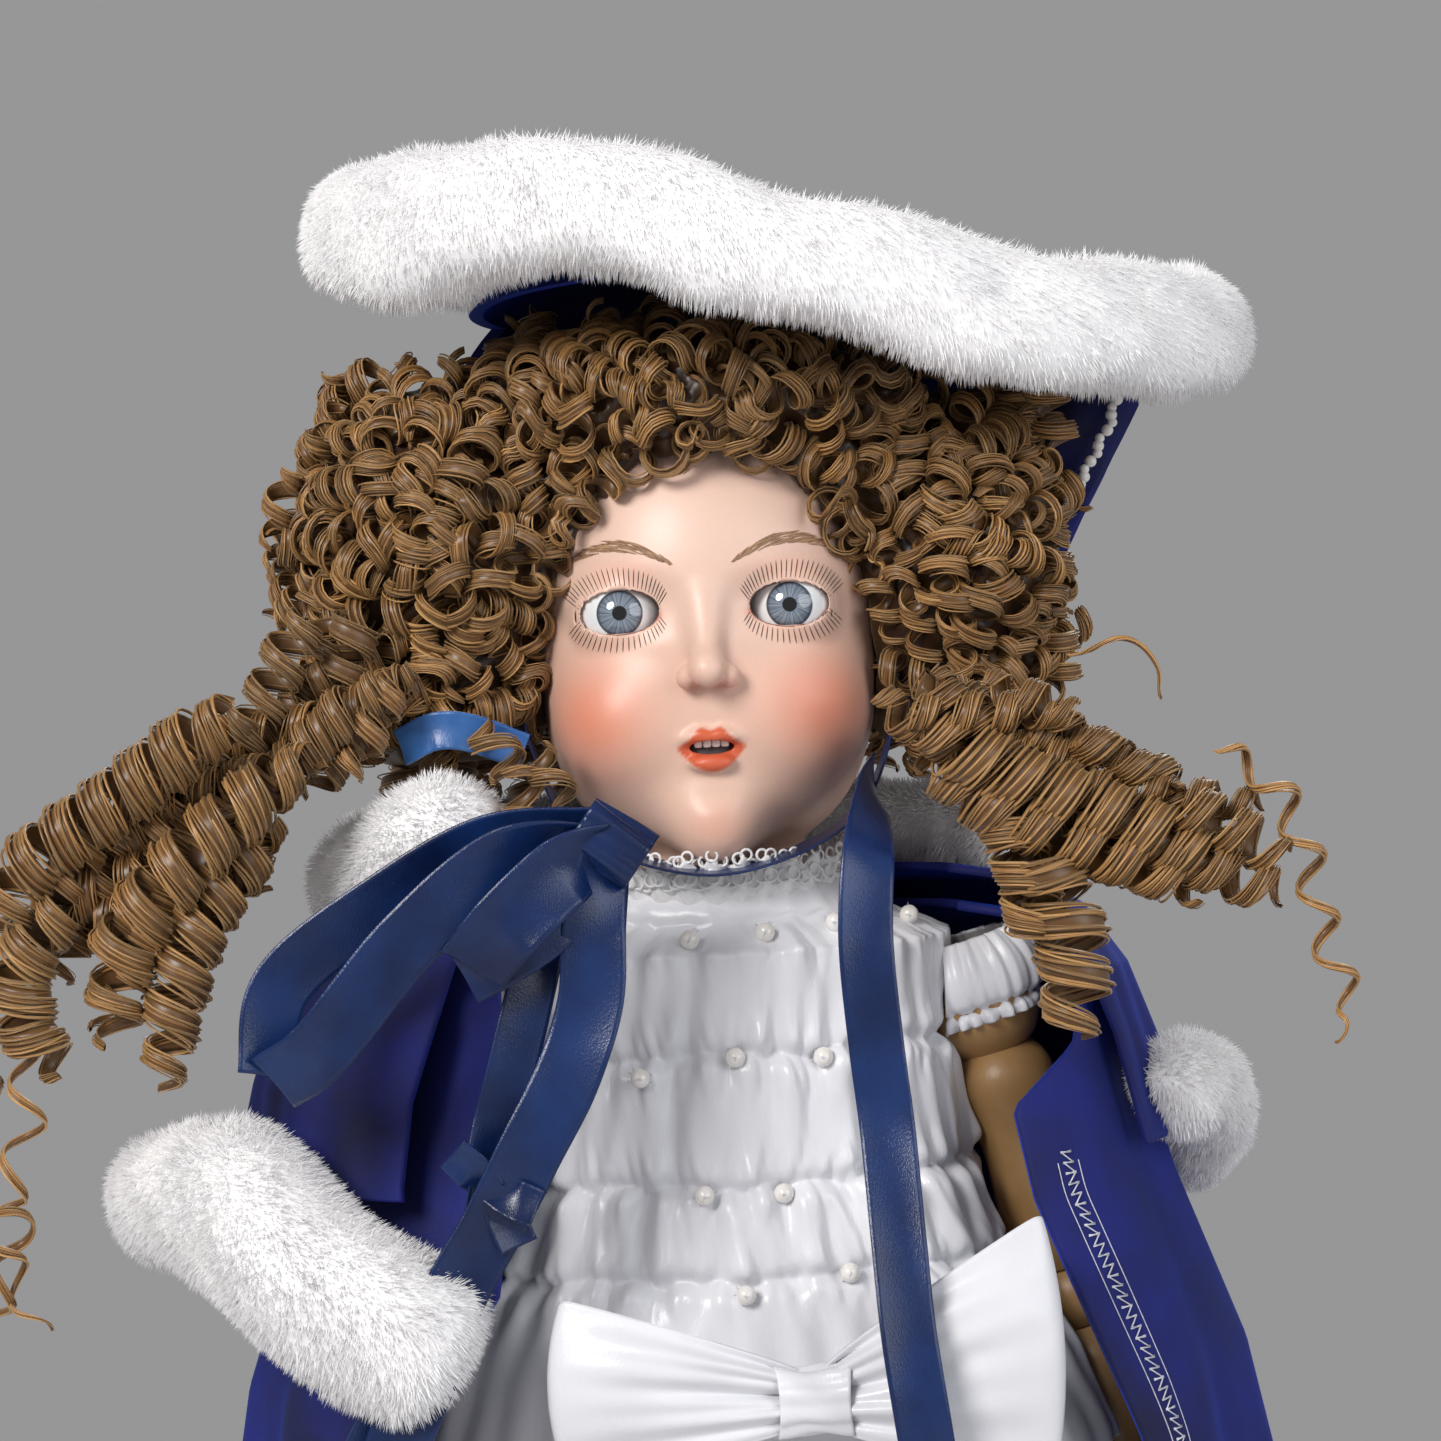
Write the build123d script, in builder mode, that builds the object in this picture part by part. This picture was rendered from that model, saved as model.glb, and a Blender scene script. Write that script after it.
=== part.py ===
from build123d import *
import math
import os

os.makedirs("parts", exist_ok=True)

# A dressed bisque doll, standing. X to the viewer's right, the doll faces -Y, Z up, mm.
# _l is the viewer's left (-X), _r the viewer's right (+X).

# Fits
socket_gap = 0.4
cloth_gap = 0.6
seat_gap = 0.2
lid_gap = 0.05

# Head
head_r = 51.0
bisque_wall = 3.6
neck_ball_r = 25.0
neck_ball_z = 480.0
neck_r = 23.0
crown_cut_z = 603.0
eye_x = 23.5
eye_y = -32.0
eye_z = 557.0
eye_r = 12.5
eye_socket_r = eye_r + lid_gap + 0.45 + socket_gap
eye_open_half_w = 10.8
eye_open_half_h = 6.5
lid_edge_deg = 31.0
lid_sweep_deg = 92.0
mouth_z = 518.0
mouth_half_w = 7.2
mouth_h = 5.0
tooth_w = 3.1

# Bonnet and hair
hat_tilt = 9.7
hat_x = 24.0
hat_y = 8.0
hat_z = 655.0
brim_path_x = 123.0
brim_path_y = 100.0
brim_half_wide = 15.0
brim_half_tall = 21.0
crown_half_x = 96.5
crown_half_z = 66.0
crown_shift_x = 16.0
crown_shift_y = 10.0
crown_z = 611.0
crown_wall = 3.0
wig_half_x = 119.0
wig_half_y = 64.0
wig_half_z = 62.0
wig_z = 588.0
wig_back_y = 36.0
ringlet_r = 9.0
spiral_r = 4.5
bonnet_pearl_r = 2.3

# Torso and limbs
torso_wall = 5.0
torso_squash = 0.72
shoulder_x = 74.0
shoulder_z = 440.0
shoulder_r = 17.0
arm_splay = 15.0
upper_arm_len = 88.0
upper_arm_r = 13.0
elbow_r = 11.0
forearm_len = 84.0
forearm_r = 11.0
wrist_r = 7.0
hand_len = 40.0
hip_x = 31.0
hip_z = 258.0
hip_r = 22.0
thigh_r = 21.0
knee_z = 143.0
knee_r = 16.0
calf_r = 17.0
ankle_r = 11.5
ankle_z = 40.0
cord_r = 1.5

# Dress
dress_wall = 1.5
chest_x = 61.5
wall_sink = 2.0
dress_squash = 0.78
waist_z = 322.0
hem_z = 168.0
skirt_half_x = 113.0
seam_gap = 0.1
sleeve_in_x = 65.5
pearl_r = 3.0
collar_r = 41.0
collar_base_z = 467.0
collar_top_z = 494.0
collar_wall = 1.6
bow_x = 10.0
bow_z = 329.0
bow_loop = 66.0
ribbon_w = 16.0

# Coat
velvet = 3.0
coat_top_z = 469.0
coat_hem_z = 160.0
coat_half_x = 160.0
coat_squash = 0.66
cape_top_z = 479.0
cape_hem_z = 402.0
cape_half_x = 140.0
fur_r = 14.0
collar_fur_r = 14.0

# Feet
sole_t = 4.0
sole_half_w = 17.5
sole_half_len = 41.0
foot_shift_y = -13.0
shoe_wall = 1.8
foot_len = 66.0
foot_w = 27.0
foot_h = 20.0


def oval(z, rx, ry, y=0.0):
    """A closed smooth outline at one height."""
    points = []
    for i in range(16):
        a = math.pi * i / 8
        points.append((rx * math.cos(a), y + ry * math.sin(a)))
    with BuildSketch(Plane.XY.offset(z)) as sk:
        with BuildLine():
            Spline(*points, periodic=True)
        make_face()
    return sk.sketch


def rings(points, squash_y, off=0.0, sink=0.0):
    """Oval sections through (half width, height) points."""
    return [oval(z - sink, x + off, squash_y * x + off) for x, z in points]


def strip(points, width, thick, y):
    """A flat ribbon that follows points in the X-Z plane."""
    plane = Plane(origin=(0, y, 0), x_dir=(1, 0, 0), z_dir=(0, -1, 0))
    with BuildPart() as out:
        with BuildSketch(plane):
            with BuildLine():
                Spline(*points)
            trace(line_width=width)
        extrude(amount=thick / 2, both=True)
    return out.part


def rope(points, radius):
    """A round cord, curl or fur roll along points."""
    with BuildPart() as out:
        with BuildLine() as path:
            Spline(*points)
        with BuildSketch(Plane(origin=path.line @ 0, z_dir=path.line % 0)):
            Circle(radius)
        sweep()
    return out.part


# ---------------------------------------------------------------- torso body
torso_points = [(40.0, 242.0), (54.0, 262.0), (55.0, 296.0), (50.0, 332.0), (55.0, 385.0)]
torso_points += [(59.0, 425.0), (59.0, 444.0), (46.0, 458.0), (33.0, 465.0)]
torso_inside = [(36.0, 248.0), (48.0, 266.0), (50.0, 296.0), (45.0, 332.0), (50.0, 385.0)]
torso_inside += [(54.0, 425.0), (54.0, 440.0), (42.0, 452.0), (28.0, 459.0)]

with BuildPart() as torso_outer:
    loft(sections=rings(torso_points, torso_squash), ruled=True)

with BuildPart() as cups:
    with Locations((-shoulder_x, 0, shoulder_z), (shoulder_x, 0, shoulder_z)):
        Sphere(shoulder_r + socket_gap + 3.0)
    with Locations((-hip_x, 0, hip_z), (hip_x, 0, hip_z)):
        Sphere(hip_r + socket_gap + 3.0)
    with Locations((0, 0, neck_ball_z)):
        Sphere(neck_ball_r + socket_gap + 3.0)
    add(torso_outer.part, mode=Mode.INTERSECT)

with BuildPart() as torso:
    add(torso_outer.part)
    loft(sections=rings(torso_inside, torso_squash), ruled=True, mode=Mode.SUBTRACT)
    add(cups.part)
    with Locations((-shoulder_x, 0, shoulder_z), (shoulder_x, 0, shoulder_z)):
        Sphere(shoulder_r + socket_gap, mode=Mode.SUBTRACT)
    with Locations((-hip_x, 0, hip_z), (hip_x, 0, hip_z)):
        Sphere(hip_r + socket_gap, mode=Mode.SUBTRACT)
    with Locations((0, 0, neck_ball_z)):
        Sphere(neck_ball_r + socket_gap, mode=Mode.SUBTRACT)
    # room for the thighs to swing up in front and a little behind
    for side in (-1, 1):
        with BuildSketch(Plane.YZ.offset(side * 8.0)):
            with BuildLine():
                Polyline(
                    (0, hip_z),
                    (-25, hip_z + 22.5),
                    (-75, hip_z + 22.5),
                    (-75, hip_z - 60),
                    (75, hip_z - 60),
                    (75, hip_z - 26),
                    (30, hip_z - 15),
                    (0, hip_z),
                )
            make_face()
        extrude(amount=side * 60.0, mode=Mode.SUBTRACT)
    # the elastic runs
    with Locations((0, 0, shoulder_z)):
        Cylinder(cord_r + 1.0, 2 * shoulder_x, rotation=(0, 90, 0), mode=Mode.SUBTRACT)
    with Locations((0, 0, 455.0)):
        Cylinder(6.0, 40.0, mode=Mode.SUBTRACT)
torso.part.label = "torso"
export_step(torso.part, "parts/torso.step")

with BuildPart() as arm_elastic:
    with Locations((0, 0, shoulder_z)):
        Cylinder(cord_r, 2 * (shoulder_x - 2.0), rotation=(0, 90, 0))
arm_elastic.part.label = "arm_elastic"
export_step(arm_elastic.part, "parts/arm_elastic.step")

with BuildPart() as leg_elastic:
    for side in (-1, 1):
        add(rope([(side * 3.0, 0, 436.0), (side * 12.0, 0, 350.0), (side * (hip_x - 9), 0, 290.0)], cord_r))
leg_elastic.part.label = "leg_elastic"
export_step(leg_elastic.part, "parts/leg_elastic.step")


# ---------------------------------------------------------------- dress
def dress_x(z):
    return chest_x + 23.0 * max(0.0, (450.0 - z) / (450.0 - waist_z)) ** 1.7


def dress_front(x, z):
    return -dress_squash * math.sqrt(dress_x(z) ** 2 - x**2)


dress_points = [(38.0, 472.0), (52.0, 461.5)]
for drop in (0, 25, 50, 75, 100):
    dress_points.append((dress_x(449.0 - drop), 449.0 - drop))
dress_points.append((dress_x(waist_z), waist_z))
with BuildPart() as dress_bodice:
    loft(sections=rings(dress_points, dress_squash), ruled=True)
    loft(sections=rings(dress_points, dress_squash, -dress_wall, wall_sink), ruled=True, mode=Mode.SUBTRACT)
    with Locations((0, 0, 472.0)):
        Cylinder(34.0, 10.0, mode=Mode.SUBTRACT)
    # armholes, round about the shoulder's own axis
    for side in (-1, 1):
        with Locations((side * (shoulder_x + 4.0), 0, shoulder_z)):
            Cylinder(shoulder_r + 1.6, 44.0, rotation=(0, 90, 0), mode=Mode.SUBTRACT)
dress_bodice.part.label = "dress_bodice"
export_step(dress_bodice.part, "parts/dress_bodice.step")


skirt_top = (dress_x(waist_z), waist_z - 0.5)
skirt_points = [skirt_top, (91.0, 290.0), (97.0, 255.0), (102.0, 215.0), (skirt_half_x, hem_z)]
with BuildPart() as skirt_whole:
    loft(sections=rings(skirt_points, dress_squash), ruled=True)
    loft(sections=rings(skirt_points, dress_squash, -dress_wall), ruled=True, mode=Mode.SUBTRACT)

with BuildPart() as skirt_l:
    add(skirt_whole.part)
    split(bisect_by=Plane.YZ.offset(-seam_gap), keep=Keep.BOTTOM)
skirt_l.part.label = "skirt_l"
export_step(skirt_l.part, "parts/skirt_l.step")

with BuildPart() as skirt_r:
    add(skirt_whole.part)
    split(bisect_by=Plane.YZ.offset(seam_gap), keep=Keep.TOP)
skirt_r.part.label = "skirt_r"
export_step(skirt_r.part, "parts/skirt_r.step")

with BuildPart() as lace_collar:
    with BuildSketch(Plane.XZ):
        with BuildLine():
            Polyline(
                (37.0, collar_base_z + 5.0),
                (collar_r, collar_top_z),
                (collar_r + collar_wall, collar_top_z),
                (39.2, collar_base_z + 5.0),
                (37.0, collar_base_z + 5.0),
            )
        make_face()
    revolve(axis=Axis.Z)
lace_collar.part.label = "lace_collar"
export_step(lace_collar.part, "parts/lace_collar.step")

pearl_spots = [(-9.4, 462.0), (12.4, 462.0), (32.8, 459.0), (-26.0, 424.0), (1.8, 428.0)]
pearl_spots += [(26.5, 427.0), (-9.0, 388.0), (12.7, 386.0), (1.0, 361.0), (31.0, 364.0)]
with BuildPart() as bodice_pearls:
    for spot_x, spot_z in pearl_spots:
        with Locations((spot_x, dress_front(spot_x, spot_z) - pearl_r - cloth_gap, spot_z)):
            Sphere(pearl_r)
bodice_pearls.part.label = "bodice_pearls"
export_step(bodice_pearls.part, "parts/bodice_pearls.step")

bow_y = dress_front(0.0, bow_z - 20.0) - 13.0
with BuildPart() as waist_bow:
    with Locations((bow_x, bow_y, bow_z)):
        Cylinder(9.0, 17.0, rotation=(0, 0, 0))
    for side in (-1, 1):
        with BuildSketch(Plane.XY.offset(bow_z - 17.0)):
            with Locations((bow_x + side * (8.0 + bow_loop / 2), bow_y)):
                Ellipse(bow_loop / 2, 11.5)
                Ellipse(bow_loop / 2 - 3.0, 8.5, mode=Mode.SUBTRACT)
        extrude(amount=34.0 if side < 0 else 46.0)
waist_bow.part.label = "waist_bow"
export_step(waist_bow.part, "parts/waist_bow.step")


# ---------------------------------------------------------------- coat
coat_points = [(70.0, coat_top_z), (94.0, coat_top_z - 5.0), (108.0, coat_top_z - 17.0)]
coat_points += [(115.0, 430.0), (125.0, 390.0), (142.0, 340.0), (154.0, 270.0), (coat_half_x, coat_hem_z)]
with BuildPart() as coat_whole:
    loft(sections=rings(coat_points, coat_squash), ruled=True)
    loft(sections=rings(coat_points, coat_squash, -velvet, wall_sink), ruled=True, mode=Mode.SUBTRACT)
    with Locations((0, 0, coat_top_z)):
        Cylinder(44.0, 20.0, mode=Mode.SUBTRACT)
    with BuildSketch(Plane.XZ.offset(10.0)):
        with BuildLine():
            Polyline(
                (-60.0, coat_top_z + 20.0),
                (-80.0, 455.0),
                (-86.0, 392.0),
                (-76.0, 362.0),
                (-101.0, 322.0),
                (-112.0, coat_hem_z - 10.0),
                (122.0, coat_hem_z - 10.0),
                (116.0, 311.0),
                (97.0, 358.0),
                (84.0, 404.0),
                (96.0, 427.0),
                (80.0, coat_top_z + 20.0),
                (-60.0, coat_top_z + 20.0),
            )
        make_face()
    extrude(amount=140.0, mode=Mode.SUBTRACT)

with BuildPart() as coat_l:
    add(coat_whole.part)
    split(bisect_by=Plane.YZ.offset(-seam_gap), keep=Keep.BOTTOM)
coat_l.part.label = "coat_l"
export_step(coat_l.part, "parts/coat_l.step")

with BuildPart() as coat_r:
    add(coat_whole.part)
    split(bisect_by=Plane.YZ.offset(seam_gap), keep=Keep.TOP)
coat_r.part.label = "coat_r"
export_step(coat_r.part, "parts/coat_r.step")


cape_points = [(66.0, cape_top_z), (92.0, cape_top_z - 4.0), (112.0, cape_top_z - 13.0)]
cape_points += [(127.0, 450.0), (134.0, 428.0), (cape_half_x, cape_hem_z)]
with BuildPart() as cape_whole:
    loft(sections=rings(cape_points, coat_squash), ruled=True)
    loft(sections=rings(cape_points, coat_squash, -velvet, wall_sink), ruled=True, mode=Mode.SUBTRACT)
    with Locations((0, 0, cape_top_z)):
        Cylinder(42.0, 20.0, mode=Mode.SUBTRACT)
    with BuildSketch(Plane.XZ.offset(5.0)):
        with BuildLine():
            Polyline((-58, 500), (-92, 380), (112, 380), (88, 500), (-58, 500))
        make_face()
    extrude(amount=140.0, mode=Mode.SUBTRACT)

with BuildPart() as capelet_l:
    add(cape_whole.part)
    split(bisect_by=Plane.YZ.offset(-seam_gap), keep=Keep.BOTTOM)
capelet_l.part.label = "capelet_l"
export_step(capelet_l.part, "parts/capelet_l.step")

with BuildPart() as capelet_r:
    add(cape_whole.part)
    split(bisect_by=Plane.YZ.offset(seam_gap), keep=Keep.TOP)
capelet_r.part.label = "capelet_r"
export_step(capelet_r.part, "parts/capelet_r.step")

fur_x = cape_half_x + 3.0
fur_y = coat_squash * cape_half_x + 8.0
fur_z = cape_hem_z - fur_r - 2.5
with BuildPart() as fur_hem_l:
    add(
        rope(
            [
                (-93.0, -0.88 * fur_y, fur_z - 34.0),
                (-122.0, -0.63 * fur_y, fur_z - 12.0),
                (-fur_x, -5.0, fur_z),
                (-0.82 * fur_x, 0.60 * fur_y, fur_z),
                (-0.40 * fur_x, 0.94 * fur_y, fur_z),
                (-0.5, 1.02 * fur_y, fur_z),
            ],
            fur_r,
        )
    )
fur_hem_l.part.label = "fur_hem_l"
export_step(fur_hem_l.part, "parts/fur_hem_l.step")

with BuildPart() as fur_hem_r:
    add(
        rope(
            [
                (124.0, -0.50 * fur_y, fur_z + 4.0),
                (fur_x, -5.0, fur_z),
                (0.82 * fur_x, 0.60 * fur_y, fur_z),
                (0.40 * fur_x, 0.94 * fur_y, fur_z),
                (0.5, 1.02 * fur_y, fur_z),
            ],
            fur_r,
        )
    )
fur_hem_r.part.label = "fur_hem_r"
export_step(fur_hem_r.part, "parts/fur_hem_r.step")

with BuildPart() as fur_collar:
    add(
        rope(
            [
                (-72.0, -46.0, 488.0),
                (-88.0, -10.0, 491.5),
                (-74.0, 34.0, 492.5),
                (-36.0, 62.0, 493.5),
                (0.0, 69.0, 493.5),
                (36.0, 62.0, 493.5),
                (74.0, 34.0, 492.5),
                (88.0, -10.0, 491.5),
            ],
            collar_fur_r,
        )
    )
fur_collar.part.label = "fur_collar"
export_step(fur_collar.part, "parts/fur_collar.step")


# ---------------------------------------------------------------- head body
def head_profile(off):
    points = [(neck_r + off, 492.0), (36.0 + off, 499.0), (46.0 + off, 518.0), (head_r - 1.0 + off, 545.0)]
    points += [(head_r + off, 572.0), (46.0 + off, 600.0), (30.0 + off, 616.0), (0.0, 622.0 + off)]
    return points


def head_solid(off):
    """The head's round outer or inner form."""
    points = head_profile(off)
    with BuildPart() as out:
        with BuildSketch(Plane.XZ):
            with BuildLine():
                Spline(*points)
                Polyline((0, 622.0 + off), (0, 470.0), (neck_r + off, 470.0), points[0])
            make_face()
        revolve(axis=Axis.Z)
    return out.part


with BuildPart() as bisque_head:
    add(head_solid(0.0))
    with Locations((0, 0, neck_ball_z)):
        Sphere(neck_ball_r)
    with Locations((0, -head_r + 1.0, 538.0)):
        Sphere(5.5)
    with Locations((-head_r + 3.0, 8.0, 547.0), (head_r - 3.0, 8.0, 547.0)):
        Sphere(8.0)
    add(head_solid(-bisque_wall), mode=Mode.SUBTRACT)
    with Locations((0, 0, 470.0)):
        Cylinder(neck_r - 5.5, 60.0, mode=Mode.SUBTRACT)
    with Locations((0, 0, crown_cut_z + 50.0)):
        Box(200.0, 200.0, 100.0, mode=Mode.SUBTRACT)
    with Locations((-eye_x, eye_y, eye_z), (eye_x, eye_y, eye_z)):
        Sphere(eye_socket_r, mode=Mode.SUBTRACT)
    with BuildSketch(Plane.XZ.offset(20.0)):
        with Locations((-eye_x, eye_z), (eye_x, eye_z)):
            Ellipse(eye_open_half_w, eye_open_half_h)
        with Locations((0, mouth_z)):
            SlotOverall(2 * mouth_half_w + 2, mouth_h)
    extrude(amount=50.0, mode=Mode.SUBTRACT)
bisque_head.part.label = "bisque_head"
export_step(bisque_head.part, "parts/bisque_head.step")

with BuildPart() as teeth:
    with Locations((0, -40.2, mouth_z + 1.0)):
        Box(2 * mouth_half_w + 3, 1.6, 6.0)
    for step in (-1.5, -0.5, 0.5, 1.5):
        with Locations((step * (tooth_w + 0.25), -43.4, mouth_z + 0.55)):
            Box(tooth_w, 4.8, 3.6)
teeth.part.label = "teeth"
export_step(teeth.part, "parts/teeth.step")

with BuildPart() as pate:
    add(head_solid(0.0))
    add(head_solid(-2.0), mode=Mode.SUBTRACT)
    with Locations((0, 0, crown_cut_z + seat_gap - 100.0)):
        Box(200.0, 200.0, 200.0, mode=Mode.SUBTRACT)
pate.part.label = "pate"
export_step(pate.part, "parts/pate.step")

with BuildPart() as neck_plug:
    with Locations((0, 0, 467.0)):
        Cylinder(neck_r - 6.0, 8.0)
    with Locations((0, 0, 459.0)):
        Cylinder(1.6, 14.0)
    with Locations((0, 0, 449.0)):
        Torus(4.0, 1.4, rotation=(90, 0, 0))
neck_plug.part.label = "neck_plug"
export_step(neck_plug.part, "parts/neck_plug.step")

# the crown's true outer form, tilted with the hat
hat_turn = Pos(hat_x, hat_y, hat_z) * Rotation(0, hat_tilt, 0)
def crown_dome(off):
    """The crown's round form, turned about its own upright axis at the origin."""
    wide = crown_half_x + off
    tall = crown_half_z + off
    with BuildPart() as out:
        with BuildSketch(Plane.XZ):
            with BuildLine():
                Spline(
                    (0, tall),
                    (0.5 * wide, 0.866 * tall),
                    (0.866 * wide, 0.5 * tall),
                    (wide, 0),
                    (0.9 * wide, -0.45 * tall),
                    (0.75 * wide, -0.66 * tall),
                )
                Polyline((0.75 * wide, -0.66 * tall), (0, -0.66 * tall), (0, tall))
            make_face()
        revolve(axis=Axis.Z)
    return out.part


with BuildPart() as bonnet_crown:
    with Locations((crown_shift_x, crown_shift_y, crown_z)):
        add(crown_dome(0.0))
        add(crown_dome(-crown_wall), mode=Mode.SUBTRACT)
    with Locations((0, wig_back_y - 100.0, 560.0)):
        Box(400.0, 200.0, 175.0, mode=Mode.SUBTRACT)
    with Locations((0, 0, 485.0)):
        Box(400.0, 400.0, 200.0, mode=Mode.SUBTRACT)
bonnet_crown.part.label = "bonnet_crown"
export_step(bonnet_crown.part, "parts/bonnet_crown.step")

with BuildPart() as brim_flat:
    brim_path = Wire([Edge.make_ellipse(brim_path_x, brim_path_y)])
    with BuildSketch(Plane(origin=(brim_path_x, 0, 0), x_dir=(0, 0, 1), z_dir=(0, 1, 0))):
        Ellipse(brim_half_tall, brim_half_wide)
    sweep(path=brim_path)

with BuildPart() as bonnet_brim:
    add(hat_turn * brim_flat.part)
bonnet_brim.part.label = "bonnet_brim"
export_step(bonnet_brim.part, "parts/bonnet_brim.step")

with BuildPart() as bonnet_pearls:
    for i in range(8):
        t = i / 7
        with Locations((132.0 - 13.0 * t, -20.0 - 6.0 * t, 612.0 - 36.0 * t)):
            Sphere(bonnet_pearl_r)
bonnet_pearls.part.label = "bonnet_pearls"
export_step(bonnet_pearls.part, "parts/bonnet_pearls.step")

with BuildPart() as wig:
    with BuildSketch(Plane.XZ.offset(-(wig_back_y - 1.0))):
        with Locations((-6.0, wig_z)):
            Ellipse(wig_half_x, wig_half_z)
        with Locations((2.0, 545.0)):
            Ellipse(44.0, 60.0, mode=Mode.SUBTRACT)
        with Locations((0, 635.0 + 50.0)):
            Rectangle(400.0, 100.0, mode=Mode.SUBTRACT)
    extrude(amount=wig_back_y + wig_half_y - 1.0)
    Cylinder(head_r + 6.0, 1400.0, mode=Mode.SUBTRACT)
wig.part.label = "wig"
export_step(wig.part, "parts/wig.step")

with BuildPart() as back_curls:
    with Locations((0, 8.0, 545.0)):
        Cylinder(88.0, 72.0)
        Cylinder(head_r + 9.0, 80.0, mode=Mode.SUBTRACT)
    with Locations((0, wig_back_y + 0.5 - 100.0, 560.0)):
        Box(400.0, 200.0, 400.0, mode=Mode.SUBTRACT)
back_curls.part.label = "back_curls"
export_step(back_curls.part, "parts/back_curls.step")

curl_y = -78.0
with BuildPart() as ringlets_l:
    add(
        rope(
            [
                (-112.0, curl_y + 4, 545.0),
                (-142.0, curl_y, 524.0),
                (-176.0, curl_y, 504.0),
                (-190.0, curl_y, 482.0),
                (-176.0, curl_y, 458.0),
                (-158.0, curl_y, 446.0),
            ],
            ringlet_r,
        )
    )
    add(
        rope(
            [
                (-178.0, curl_y + 13, 440.0),
                (-197.0, curl_y + 13, 425.0),
                (-203.0, curl_y + 13, 398.0),
                (-192.0, curl_y + 13, 368.0),
            ],
            spiral_r,
        )
    )
ringlets_l.part.label = "ringlets_l"
export_step(ringlets_l.part, "parts/ringlets_l.step")

with BuildPart() as ringlets_r:
    add(
        rope(
            [(58.0, curl_y, 527.0), (88.0, curl_y, 508.0), (112.0, curl_y, 498.0), (136.0, curl_y, 480.0)],
            ringlet_r,
        )
    )
    add(
        rope(
            [(138.0, curl_y, 514.0), (154.0, curl_y, 498.0), (160.0, curl_y, 468.0), (169.0, curl_y, 434.0)],
            spiral_r,
        )
    )
    add(rope([(94.0, curl_y, 486.0), (93.0, curl_y, 462.0), (92.5, curl_y, 437.0)], 12.0))
ringlets_r.part.label = "ringlets_r"
export_step(ringlets_r.part, "parts/ringlets_r.step")

with BuildPart() as chin_ribbon:
    with BuildSketch(Plane.XZ.offset(37.0)):
        with BuildLine():
            Spline((-54, 528), (-50, 517), (-37, 504.5), (0, 497.5), (37, 504.5), (50, 517), (54, 528))
        trace(line_width=1.6)
    extrude(amount=ribbon_w)
chin_ribbon.part.label = "chin_ribbon"
export_step(chin_ribbon.part, "parts/chin_ribbon.step")

tie_y = -104.0
with BuildPart() as ribbon_bow:
    with Locations((-34.0, tie_y, 494.0)):
        Sphere(9.0)
    with BuildSketch(Plane(origin=(0, tie_y + 1.5, 0), x_dir=(1, 0, 0), z_dir=(0, -1, 0))):
        with Locations(Location((-86.0, 462.0), 34.0)):
            Ellipse(62.0, 25.0)
            Ellipse(46.0, 9.0, mode=Mode.SUBTRACT)
        with Locations(Location((-58.0, 474.0), 60.0)):
            Ellipse(30.0, 17.0)
    extrude(amount=3.0)
ribbon_bow.part.label = "ribbon_bow"
export_step(ribbon_bow.part, "parts/ribbon_bow.step")

with BuildPart() as ribbon_tails:
    add(strip([(-37.0, 484.0), (-41.0, 447.0), (-59.0, 404.0), (-84.0, 362.0), (-104.0, 300.0)], ribbon_w, 1.5, tie_y - 4.0))
    add(strip([(-56.0, 462.0), (-70.0, 405.0), (-70.0, 390.0), (-88.0, 353.0), (-116.0, 306.0)], ribbon_w, 1.5, tie_y - 7.5))
    add(strip([(45.0, 500.0), (41.0, 457.0), (44.6, 413.0), (47.4, 355.0), (53.0, 292.0)], ribbon_w, 1.5, -96.5))
ribbon_tails.part.label = "ribbon_tails"
export_step(ribbon_tails.part, "parts/ribbon_tails.step")

# ---------------------------------------------------------------- sleeping eyes
with BuildPart() as eye_l:
    with Locations((-eye_x, eye_y, eye_z)):
        Sphere(eye_r)
eye_l.part.label = "eye_l"
export_step(eye_l.part, "parts/eye_l.step")

with BuildPart() as eye_r_ball:
    with Locations((eye_x, eye_y, eye_z)):
        Sphere(eye_r)
eye_r_ball.part.label = "eye_r"
export_step(eye_r_ball.part, "parts/eye_r.step")

lid_a = math.radians(lid_edge_deg)
lid_b = math.radians(lid_edge_deg + lid_sweep_deg / 2)
lid_c = math.radians(lid_edge_deg + lid_sweep_deg)
with BuildPart() as eyelids:
    with Locations((-eye_x, eye_y, eye_z), (eye_x, eye_y, eye_z)):
        Sphere(eye_r + lid_gap + 0.45)
    with Locations((-eye_x, eye_y, eye_z), (eye_x, eye_y, eye_z)):
        Sphere(eye_r + lid_gap, mode=Mode.SUBTRACT)
    with BuildSketch(Plane(origin=(-60.0, eye_y, eye_z), x_dir=(0, -1, 0), z_dir=(-1, 0, 0))):
        with BuildLine():
            Polyline(
                (0, 0),
                (20 * math.cos(lid_a), 20 * math.sin(lid_a)),
                (29 * math.cos(lid_b), 29 * math.sin(lid_b)),
                (20 * math.cos(lid_c), 20 * math.sin(lid_c)),
                (0, 0),
            )
        make_face()
    extrude(amount=-120.0, mode=Mode.INTERSECT)
    with Locations((0, eye_y, eye_z)):
        Cylinder(1.5, 120.0, rotation=(0, 90, 0), mode=Mode.SUBTRACT)
eyelids.part.label = "eyelids"
export_step(eyelids.part, "parts/eyelids.step")

with BuildPart() as eye_rocker:
    with Locations((0, eye_y, eye_z)):
        Cylinder(1.2, 2 * (eye_x - eye_r) - 0.1, rotation=(0, 90, 0))
    add(rope([(0, eye_y, eye_z), (0, eye_y + 6.0, eye_z - 14.0), (0, eye_y + 8.0, eye_z - 26.0)], 1.1))
    with Locations((0, eye_y + 8.0, eye_z - 28.0)):
        Cylinder(6.0, 14.0, rotation=(0, 90, 0))
eye_rocker.part.label = "eye_rocker"
export_step(eye_rocker.part, "parts/eye_rocker.step")


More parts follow.
